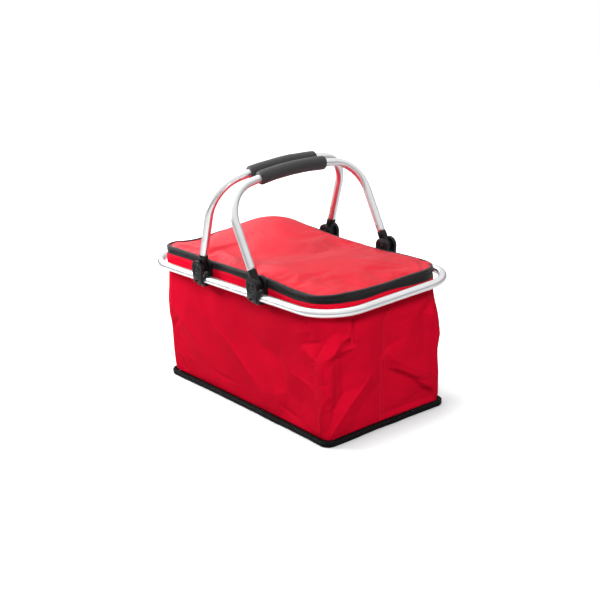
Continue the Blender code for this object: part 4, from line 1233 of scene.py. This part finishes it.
# sewn hinge of the lid, at the rear
hinge_x = np.linspace(-HINGE_HALF + 0.0008, HINGE_HALF - 0.0008, 80)
hinge_rows = np.array([[(x, y, z) for x in hinge_x] for y, z in HINGE_PROFILE])
hinge_rows = hang(hinge_rows, nearest_columns(hinge_rows[0, :, :2]))
hinge = sweep("lid_hinge_cloth", hinge_rows, ZIP_TAPE, closed=False, flip=True)
register(hinge, "black_binding", "lid_hinge_strip")

# ------------------------------------------------------------------ the lid
# (height, width, [(x, y), ...])
LID_CREASES = (
    (-0.0040, 0.024, [(-0.075, -0.050), (0.000, -0.012), (0.065, 0.016), (0.135, 0.062)]),
    (-0.0024, 0.009, [(-0.015, 0.062), (0.022, 0.078), (0.050, 0.090)]),
    (-0.0016, 0.007, [(0.196, 0.084), (0.160, 0.040), (0.118, 0.004)]),
    (-0.0013, 0.006, [(0.192, 0.074), (0.175, 0.030), (0.150, -0.016)]),
    (-0.0012, 0.008, [(0.186, 0.096), (0.120, 0.066), (0.070, 0.056)]),
    (0.0012, 0.008, [(0.176, 0.060), (0.140, 0.026), (0.112, 0.006)]),
    (-0.0012, 0.012, [(-0.120, -0.095), (-0.060, -0.070), (0.010, -0.062)]),
    (-0.0024, 0.016, [(-0.190, -0.060), (-0.170, -0.010), (-0.175, 0.040)]),
    (-0.0014, 0.012, [(0.060, -0.100), (0.090, -0.070), (0.150, -0.066)]),
    (-0.0018, 0.009, [(0.176, -0.104), (0.158, -0.078), (0.120, -0.050)]),
    (-0.0012, 0.009, [(0.198, -0.060), (0.170, -0.046), (0.140, -0.040)]),
)


def bell(x, y, centre, radii, angle=0.0):
    c, s = math.cos(angle), math.sin(angle)
    dx, dy = x - centre[0], y - centre[1]
    u = (dx * c + dy * s) / radii[0]
    v = (-dx * s + dy * c) / radii[1]
    return np.exp(-(u * u + v * v))


def lid_height(xy):
    """The stuffed lid: pushed up most at its rear left, creased towards its right end."""
    x, y = xy[..., 0], xy[..., 1]
    inner = (1 - np.abs(x / LID_X) ** 2.6) * (1 - np.abs(y / LID_Y) ** 2.4)
    inner = np.clip(inner, 0, 1)  # 0 along the edge, 1 in the middle
    up = 0.0098 * inner ** 0.62
    up = up + 0.0300 * inner ** 0.8 * bell(x, y, (-0.151, 0.0715), (0.100, 0.055), 0.117)
    up = up + 0.0044 * inner * bell(x, y, (0.120, 0.020), (0.070, 0.050), 0.2)
    up = up + 0.0110 * inner * bell(x, y, (0.030, 0.102), (0.060, 0.020))
    for height, width, line in LID_CREASES:
        up = up + crease(line, height, width, x, y) * inner ** 0.5
    return up + 0.0008 * inner * waves(xy, size=0.15, seed=15)


def simulate_lid(points):
    """Lets the panel buckle as slack cloth under a little air from below, held at its border."""
    quads = grid_quads(LID_ROWS, LID_COLUMNS)
    sheet = put("lid_cloth_sheet", points.reshape(-1, 3), quads.tolist(), LID_RED)
    held = sheet.vertex_groups.new(name="held")
    held.add(np.unique(grid_border(LID_ROWS, LID_COLUMNS)).tolist(), 1.0, "REPLACE")
    cloth = sheet.modifiers.new("Cloth", "CLOTH")
    settings = cloth.settings
    settings.quality = 6
    settings.mass = 0.25
    settings.tension_stiffness = 18
    settings.compression_stiffness = 18
    settings.shear_stiffness = 6
    settings.bending_stiffness = 0.6
    settings.air_damping = 2
    settings.vertex_group_mass = "held"
    settings.pin_stiffness = 50
    settings.shrink_min = -0.012
    settings.use_pressure = True
    settings.uniform_pressure_force = 0.35
    settings.effector_weights.gravity = 0.0
    cloth.collision_settings.use_collision = False
    cloth.collision_settings.use_self_collision = False
    cloth.point_cache.frame_start = 1
    cloth.point_cache.frame_end = 30
    scene.frame_start, scene.frame_end = 1, 30
    for frame in range(1, 27):
        scene.frame_set(frame)
    done = sheet.evaluated_get(bpy.context.evaluated_depsgraph_get())
    places = np.zeros(len(done.data.vertices) * 3)
    done.data.vertices.foreach_get("co", places)
    bpy.data.objects.remove(sheet, do_unlink=True)
    scene.frame_set(1)
    return places.reshape(LID_ROWS, LID_COLUMNS, 3)


def hem_distance(xy):
    """How far inside the lid's edge each place lies."""
    x, y = xy[..., 0], xy[..., 1]
    rear_right, rear_left, front_left, front_right = LID_CORNER
    radius = np.where(y > 0, np.where(x > 0, rear_right, rear_left),
                      np.where(x > 0, front_right, front_left))
    corner_x = np.maximum(np.abs(x) - (LID_X - radius), 0)
    corner_y = np.maximum(np.abs(y) - (LID_Y - radius), 0)
    straight = np.minimum(LID_X - np.abs(x), LID_Y - np.abs(y))
    in_corner = (corner_x > 0) & (corner_y > 0)
    return np.where(in_corner, radius - np.hypot(corner_x, corner_y), straight)


lid_grid = rounded_grid(LID_X, LID_Y, LID_CORNER, LID_COLUMNS, LID_ROWS)
lid_z = LID_Z - 0.0003 - edge_sag(lid_grid) + lid_height(lid_grid)
lid_points = np.dstack([lid_grid, lid_z])
moved = simulate_lid(lid_points) - lid_points
far = np.linalg.norm(moved, axis=2, keepdims=True)
lid_points = lid_points + moved * np.minimum(1.0, 0.006 / np.maximum(far, 1e-9))
# a shallow furrow under the hem's stitches
lid_points[..., 2] -= 0.0007 * np.exp(-(((hem_distance(lid_grid) - HEM_INSET) / 0.0016) ** 2))
lid_cloth = closed_sheet("lid_cloth", lid_points, lid_points - (0.0, 0.0, 0.0010), LID_RED)
register(lid_cloth, "red_polyester", "lid_panel", "lid_foam")

lining_inset = 0.0015
foil_grid = rounded_grid(LID_X - lining_inset, LID_Y - lining_inset, LID_CORNER - lining_inset,
                         110, 62)
foil_sag = edge_sag(foil_grid)
foil_up = lid_height(foil_grid)
foil_up = np.where(foil_up > 0, 0.5 * foil_up, 1.1 * foil_up)
foil_ripple = 0.0006 * waves(foil_grid, size=0.06, seed=77)
foil_top = np.dstack([foil_grid, 0.2350 - foil_sag + foil_up])
foil_low = np.dstack([foil_grid, 0.2341 - foil_sag + 0.9 * foil_up + foil_ripple])
lid_foil = closed_sheet("lid_lining_foil", foil_top, foil_low, FOIL)
register(lid_foil, "silver_lining", "lid_lining")

# ------------------------------------------------------------------ rim, handles and grips


def rim_path(step=0.003):
    x_steps = int(2 * (RIM_X - RIM_CORNER) / step)
    y_steps = int(2 * (RIM_Y - RIM_CORNER) / step)
    corner_steps = max(12, int(RIM_CORNER * math.pi / 2 / step))
    edge = outline(RIM_X, RIM_Y, RIM_CORNER, x_steps, y_steps, corner_steps)
    return beside(edge, 0.0, RIM_Z)


rim_rings = tube_rings(rim_path(), TUBE_R, sides=48, up=(0, 0, 1), closed=True)
rim = sweep("rim_tube_drawn", rim_rings, ALUMINIUM)
register(rim, "satin_aluminium", "rim_tube", "rim_joint_sleeve")


def crown(angle):
    """(y, z) on the handle's top arc, above its pivot."""
    return HANDLE_ARC_R * math.sin(angle), HANDLE_TOP - HANDLE_ARC_R * (1 - math.cos(angle))


def handle_path():
    """(y, z) of the handle's centreline standing upright, from front to rear."""
    bend_z = crown(HANDLE_ARCH)[1] - HANDLE_CORNER * math.cos(HANDLE_ARCH)
    half = [(-RIM_Y, HANDLE_FOOT + (bend_z - HANDLE_FOOT) * k / 24) for k in range(24)]
    for k in range(29):
        t = math.pi - (math.pi / 2 - HANDLE_ARCH) * k / 28
        y = -RIM_Y + HANDLE_CORNER + HANDLE_CORNER * math.cos(t)
        half.append((y, bend_z + HANDLE_CORNER * math.sin(t)))
    half += [crown(-HANDLE_ARCH * (1 - k / 30)) for k in range(1, 31)]
    return half + [(-y, z) for y, z in half[-2::-1]]


def leaned(yz, side, tilt):
    """Upright (y, z) points tilted about the pivot on one side of the basket."""
    y, z = np.asarray(yz, float).T
    return np.stack([side * PIVOT_X + np.sin(tilt) * z, y, PIVOT_Z + np.cos(tilt) * z], -1)


def grip_radii(side, columns, sides):
    """Radius over (angle, place) of the foam sleeve: rounded ends, soft dents, and a narrow
    joint line along its underside."""
    inner = TUBE_R + 0.0004
    rounding = 0.0030
    to_end = (1 - np.abs(np.linspace(-1, 1, columns))) * GRIP_HALF
    dome = np.sqrt(np.clip(1 - (1 - to_end / rounding) ** 2, 0, 1))
    full = np.where(to_end < rounding, dome, 1.0)
    dents = noise_line(cells=9, seed=70 + side, count=columns, closed=False) * 0.00022
    angle = np.arange(sides) * 2 * math.pi / sides
    lumps = smooth_noise((sides, columns), (6, 14), 80 + side, closed=False) * 0.00018
    lumps = lumps * np.sin(angle / 2)[:, None] ** 0.5
    joint = 1.5 * math.pi + side * 0.2
    from_joint = np.abs((angle - joint + math.pi) % (2 * math.pi) - math.pi)
    groove = -0.0007 * np.exp(-((from_joint / 0.10) ** 2))
    smooth = inner + (GRIP_R - inner) * full + dents * full
    return smooth[None] + lumps + groove[:, None] * full[None]


for label, side, lean in (("left", -1, LEAN_LEFT), ("right", 1, LEAN_RIGHT)):
    tilt = -side * lean
    across = (math.cos(tilt), 0.0, -math.sin(tilt))
    rings = tube_rings(leaned(handle_path(), side, tilt), TUBE_R, sides=44, up=across)
    handle = sweep("handle_%s_drawn" % label, rings, ALUMINIUM, closed=False)
    register(handle, "satin_aluminium", "handle_tube_" + label)
    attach(handle, "handle_" + label)

    half_angle = GRIP_HALF / HANDLE_ARC_R
    arc = [crown(t) for t in np.linspace(-half_angle, half_angle, 110)]
    radii = grip_radii(side, columns=110, sides=56)
    rings = tube_rings(leaned(arc, side, tilt), radii, sides=56, up=across)
    grip = sweep("grip_%s_foam" % label, rings, GRIP, closed=False)
    register(grip, "black_foam_grip", "grip_" + label)
    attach(grip, "handle_" + label)

# ------------------------------------------------------------------ stitching


def stitches(name, points, normals, material, length, gap, radius, lift=0.00015, closed=True):
    """Short rounded threads laid along a path, each a little arched over the cloth."""
    points = np.asarray(points, float)
    if closed:
        points = np.concatenate([points, points[:1]])
        normals = np.concatenate([normals, normals[:1]])
    distance = run_length(points)
    count = int(distance[-1] / (length + gap))
    pitch = distance[-1] / count
    length = pitch * length / (length + gap)
    rise = np.array([-0.9, 0.6, 0.6, -0.9]) * radius + lift
    width = (np.array([0.45, 1.0, 1.0, 0.45]) * radius)[:, None, None]
    angle = (np.arange(5) * 2 * math.pi / 5)[None, :, None]
    verts, faces = [], []
    for k in range(count):
        marks = k * pitch + np.linspace(0, length, 4)
        place = sample(marks, distance, points)
        normal = unit(sample(marks, distance, normals))
        side = unit(np.cross(normal[1], unit(place[-1] - place[0])))
        centre = place + normal * rise[:, None]
        rings = centre[:, None] + width * (np.cos(angle) * side + np.sin(angle) * normal[1])
        faces += bead_faces(len(verts), sides=5)
        verts += rings.reshape(-1, 3).tolist()
    return put(name, verts, faces, material, zero_uv(faces))


band_line = hang(beside(mouth, 0.00115 + ripple * 0.6, 0.2166))
band_stitches = stitches("band_stitching", band_line, level(mouth[1]), RED_THREAD,
                         length=0.0026, gap=0.0011, radius=0.00028)
register(band_stitches, "red_polyester")

piping_line = beside(base_edge, 0.0026 + PIPING_STANDS_OUT + wander_out, 0.0083 + wander_up)
piping_stitches = stitches("binding_stitching", piping_line, level(base_edge[1]), BLACK_THREAD,
                           length=0.0030, gap=0.0012, radius=0.00030)
register(piping_stitches, "black_binding")


def hem_line():
    """The hem's run laid on the lid's own surface."""
    run, _ = outline(LID_X - HEM_INSET, LID_Y - HEM_INSET, LID_CORNER - HEM_INSET, 150, 80, 26)
    flat_xy = lid_points[..., :2].reshape(-1, 2)
    flat_z = lid_points[..., 2].reshape(-1)
    heights = []
    for place in run:
        squared = ((flat_xy - place) ** 2).sum(1)
        near = np.argpartition(squared, 6)[:6]
        weight = 1 / (squared[near] + 1e-9)
        heights.append((flat_z[near] * weight).sum() / weight.sum())
    return np.column_stack([run, heights])


hem = hem_line()
lid_stitches = stitches("lid_stitching", hem, np.tile((0.0, 0.0, 1.0), (len(hem), 1)), RED_THREAD,
                        length=0.0027, gap=0.0012, radius=0.00030, lift=0.0002)
register(lid_stitches, "red_polyester")


def seam_line(first_column, offset):
    """Points up the wall beside an end's middle seam."""
    line = []
    for row in range(2, WALL_ROWS - 12, 2):
        s = seam_place(wall_flat[row, 0, 2] * 1000.0) / 1000.0 + offset
        places = wall_s[row, first_column:first_column + Y_STEPS]
        k = int(np.clip(np.searchsorted(places, s) - 1, 0, Y_STEPS - 2))
        part = (s - places[k]) / (places[k + 1] - places[k])
        column = first_column + k
        line.append(wall_outside[row, column] * (1 - part) + wall_outside[row, column + 1] * part)
    return line


# a row of stitches on each side of both ends' seams
seam_rows = []
for end, (first_column, facing) in enumerate(((0, 1.0), (LEFT_END, -1.0))):
    for row, offset in enumerate((-0.0040, 0.0044)):
        line = seam_line(first_column, offset)
        normals = np.tile((facing, 0.0, 0.0), (len(line), 1))
        seam_rows.append(stitches("seam_%d_%d" % (end, row), line, normals, RED_THREAD,
                                  length=0.0026, gap=0.0012, radius=0.00026, closed=False))
seam_stitches = join("end_seam_stitching", seam_rows)
register(seam_stitches, "red_polyester")

# ------------------------------------------------------------------ who rides on what
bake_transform(hinge)
for piece in (band, lower_tape, coil_low, rim, band_stitches):
    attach(piece, "rim")
for piece in (coil_up, upper_tape, lid_cloth, lid_foil, lid_stitches):
    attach(piece, "lid")
for piece in (wall, lining, lining_floor, board, bottom_cloth, piping, piping_stitches,
              seam_stitches):
    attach(piece, "base")
for piece in (wall, lining, seam_stitches):
    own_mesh(piece)

# ------------------------------------------------------------------ carried-over CAD pieces
STEEL_PIECES = ("clamp_screw_", "band_rivet_", "handle_rivet_", "zip_slider")


def add_weld(piece, name):
    weld = piece.modifiers.new(name, "WELD")
    weld.merge_threshold = 0.00001


def dress_cad_piece(name, piece):
    """Material, smooth shading and small bevels for a CAD piece that stays visible."""
    piece.data.materials.clear()
    piece.data.materials.append(STEEL if name.startswith(STEEL_PIECES) else PLASTIC)
    add_weld(piece, "weld")
    piece.data.polygons.foreach_set("use_smooth", [True] * len(piece.data.polygons))
    bevel = piece.modifiers.new("edges", "BEVEL")
    bevel.width = 0.00035
    bevel.segments = 2
    bevel.limit_method = "ANGLE"
    bevel.angle_limit = math.radians(32)
    bevel.use_clamp_overlap = True
    bevel.harden_normals = True
    if name != "zip_slider":
        add_weld(piece, "tidy")


for name, piece in cad_pieces.items():
    if not piece.hide_render:
        dress_cad_piece(name, piece)

# ------------------------------------------------------------------ floor of the stage


def floor_material(name):
    """Near-white floor with painted light: it glows to the camera, dimmed to a painted shadow close
    under the basket, and bounces little light."""
    n = Surface(name)
    haze = n.noise(n.place(), scale=3.0)
    light = n.add("LightPath")
    colour = n.vary(haze, rgb(0.90, 0.90, 0.905), rgb(0.915, 0.915, 0.92))
    colour = n.mix(light.outputs["Is Diffuse Ray"], colour, rgb(0.30, 0.30, 0.30))
    # distance in plan from a rectangle of these half sizes under the basket
    apart = n.vector("ABSOLUTE", n.add("TexCoord").outputs["Object"])
    beyond = n.vector("SUBTRACT", apart, (0.205, 0.105, 0.0))
    clipped = n.vector("MAXIMUM", beyond, (0.0, 0.0, 0.0))
    reach = n.vector("LENGTH", clipped).outputs["Value"]
    # painted light and shadow: the floor's glow is dim close under the basket as a painted contact
    # shadow, and brighter further out
    painted_glow = n.ramp(reach, span=(0.005, 0.13), to=(0.10, 0.90))
    return n.set(
        Base_Color=colour,
        Roughness=0.9,
        Specular_IOR_Level=0.0,
        Emission_Color=rgb(1, 1, 1),
        Emission_Strength=n.math("MULTIPLY", painted_glow, light.outputs["Is Camera Ray"]),
    )


FLOOR_HALF = 2.4
floor_corners = [(x * FLOOR_HALF, y * FLOOR_HALF, 0) for x, y in ((-1, -1), (1, -1), (1, 1), (-1, 1))]
floor = put("studio_floor", floor_corners, [[0, 1, 2, 3]], floor_material("studio_floor"))

# ------------------------------------------------------------------ camera
AZIMUTH, ELEVATION = math.radians(51.326), math.radians(18.643)  # azimuth from the front towards +X
ROLL, DISTANCE = math.radians(-3.729), 2.0731
TARGET = Vector((-0.0121, 0.0134, 0.1469))
back = Vector((
    math.sin(AZIMUTH) * math.cos(ELEVATION),
    -math.cos(AZIMUTH) * math.cos(ELEVATION),
    math.sin(ELEVATION),
))
view_right = Vector((math.cos(AZIMUTH), math.sin(AZIMUTH), 0))
view_up = back.cross(view_right)
rolled_right = view_right * math.cos(ROLL) + view_up * math.sin(ROLL)
rolled_up = -view_right * math.sin(ROLL) + view_up * math.cos(ROLL)
camera_data = bpy.data.cameras.new("camera")
camera = bpy.data.objects.new("camera", camera_data)
scene.collection.objects.link(camera)
camera_turn = Matrix((rolled_right, rolled_up, back)).transposed().to_4x4()
camera.matrix_world = Matrix.Translation(TARGET + back * DISTANCE) @ camera_turn
camera_data.sensor_width = 36.0
camera_data.lens = 76.116
camera_data.clip_start, camera_data.clip_end = 0.05, 60.0
scene.camera = camera

# ------------------------------------------------------------------ lights
LIT_CENTRE = Vector((0, 0, 0.15))


def seen_from_camera(nearer, right, up):
    """An offset in plan towards the camera and to its right, and upwards."""
    towards = Vector((math.sin(AZIMUTH), -math.cos(AZIMUTH), 0))
    return towards * nearer + view_right * right + Vector((0, 0, up))


def softbox(name, offset, power, width, height, glossy=True):
    """A rectangular light aimed at the basket's centre."""
    data = bpy.data.lights.new(name, "AREA")
    data.shape = "RECTANGLE"
    data.size, data.size_y = width, height
    data.energy = power
    lamp = bpy.data.objects.new(name, data)
    scene.collection.objects.link(lamp)
    lamp.location = LIT_CENTRE + offset
    lamp.rotation_mode = "QUATERNION"
    lamp.rotation_quaternion = (-offset).to_track_quat("-Z", "Y")
    lamp.visible_glossy = glossy


softbox("overhead", seen_from_camera(nearer=-0.5, right=-0.4, up=1.9),
        power=21, width=1.8, height=1.8)
softbox("key_left", Vector((-0.46, -0.44, 0.36)), power=3.2, width=0.22, height=0.22)
softbox("front_top", seen_from_camera(nearer=1.15, right=0.12, up=0.74),
        power=7.6, width=0.24, height=0.24, glossy=False)
softbox("side_top", seen_from_camera(nearer=0.75, right=1.0, up=0.95),
        power=2.6, width=0.36, height=0.36, glossy=False)
softbox("back_left", seen_from_camera(nearer=-1.5, right=-0.75, up=0.62),
        power=3.5, width=1.0, height=0.3)

# ------------------------------------------------------------------ world
# (share of the way from straight down to straight up, brightness): a dark band at the horizon
SKY_ENDS = (0.9, 1.0)
SKY_STOPS = ((0.44, 0.75), (0.475, 0.10), (0.54, 0.12), (0.59, 0.85), (0.8, 1.0))


def build_world():
    """White to the camera; a banded sky for lighting, stronger in reflections."""
    world = bpy.data.worlds.new("studio")
    scene.world = world
    world.use_nodes = True
    n = Nodes(world.node_tree)
    n.tree.nodes.clear()
    output = n.add("OutputWorld")
    mixer = n.add("MixShader")
    path = n.add("LightPath")
    seen = n.add("Background", Color=rgb(1, 1, 1), Strength=1.0)
    lit = n.add("Background")
    split = n.add("SeparateXYZ", Vector=n.add("TexCoord").outputs["Generated"])
    sky = n.add("ValToRGB")
    n.put(sky.inputs[0], n.ramp(split.outputs[2], span=(-1.0, 1.0)))
    stops = sky.color_ramp.elements
    for stop, position, value in zip(stops, (0.0, 1.0), SKY_ENDS):
        stop.position = position
        stop.color = rgb(value, value, value)
    for position, value in SKY_STOPS:
        stops.new(position).color = rgb(value, value, value)
    n.put(lit.inputs[0], sky)
    strength = n.ramp(path.outputs["Is Glossy Ray"], span=(0.0, 1.0), to=(0.26, 0.95))
    n.put(lit.inputs[1], strength)
    for socket, source in zip(mixer.inputs, (path.outputs["Is Camera Ray"], lit, seen)):
        n.put(socket, source)
    n.put(output.inputs[0], mixer)


build_world()

bpy.context.view_layer.update()
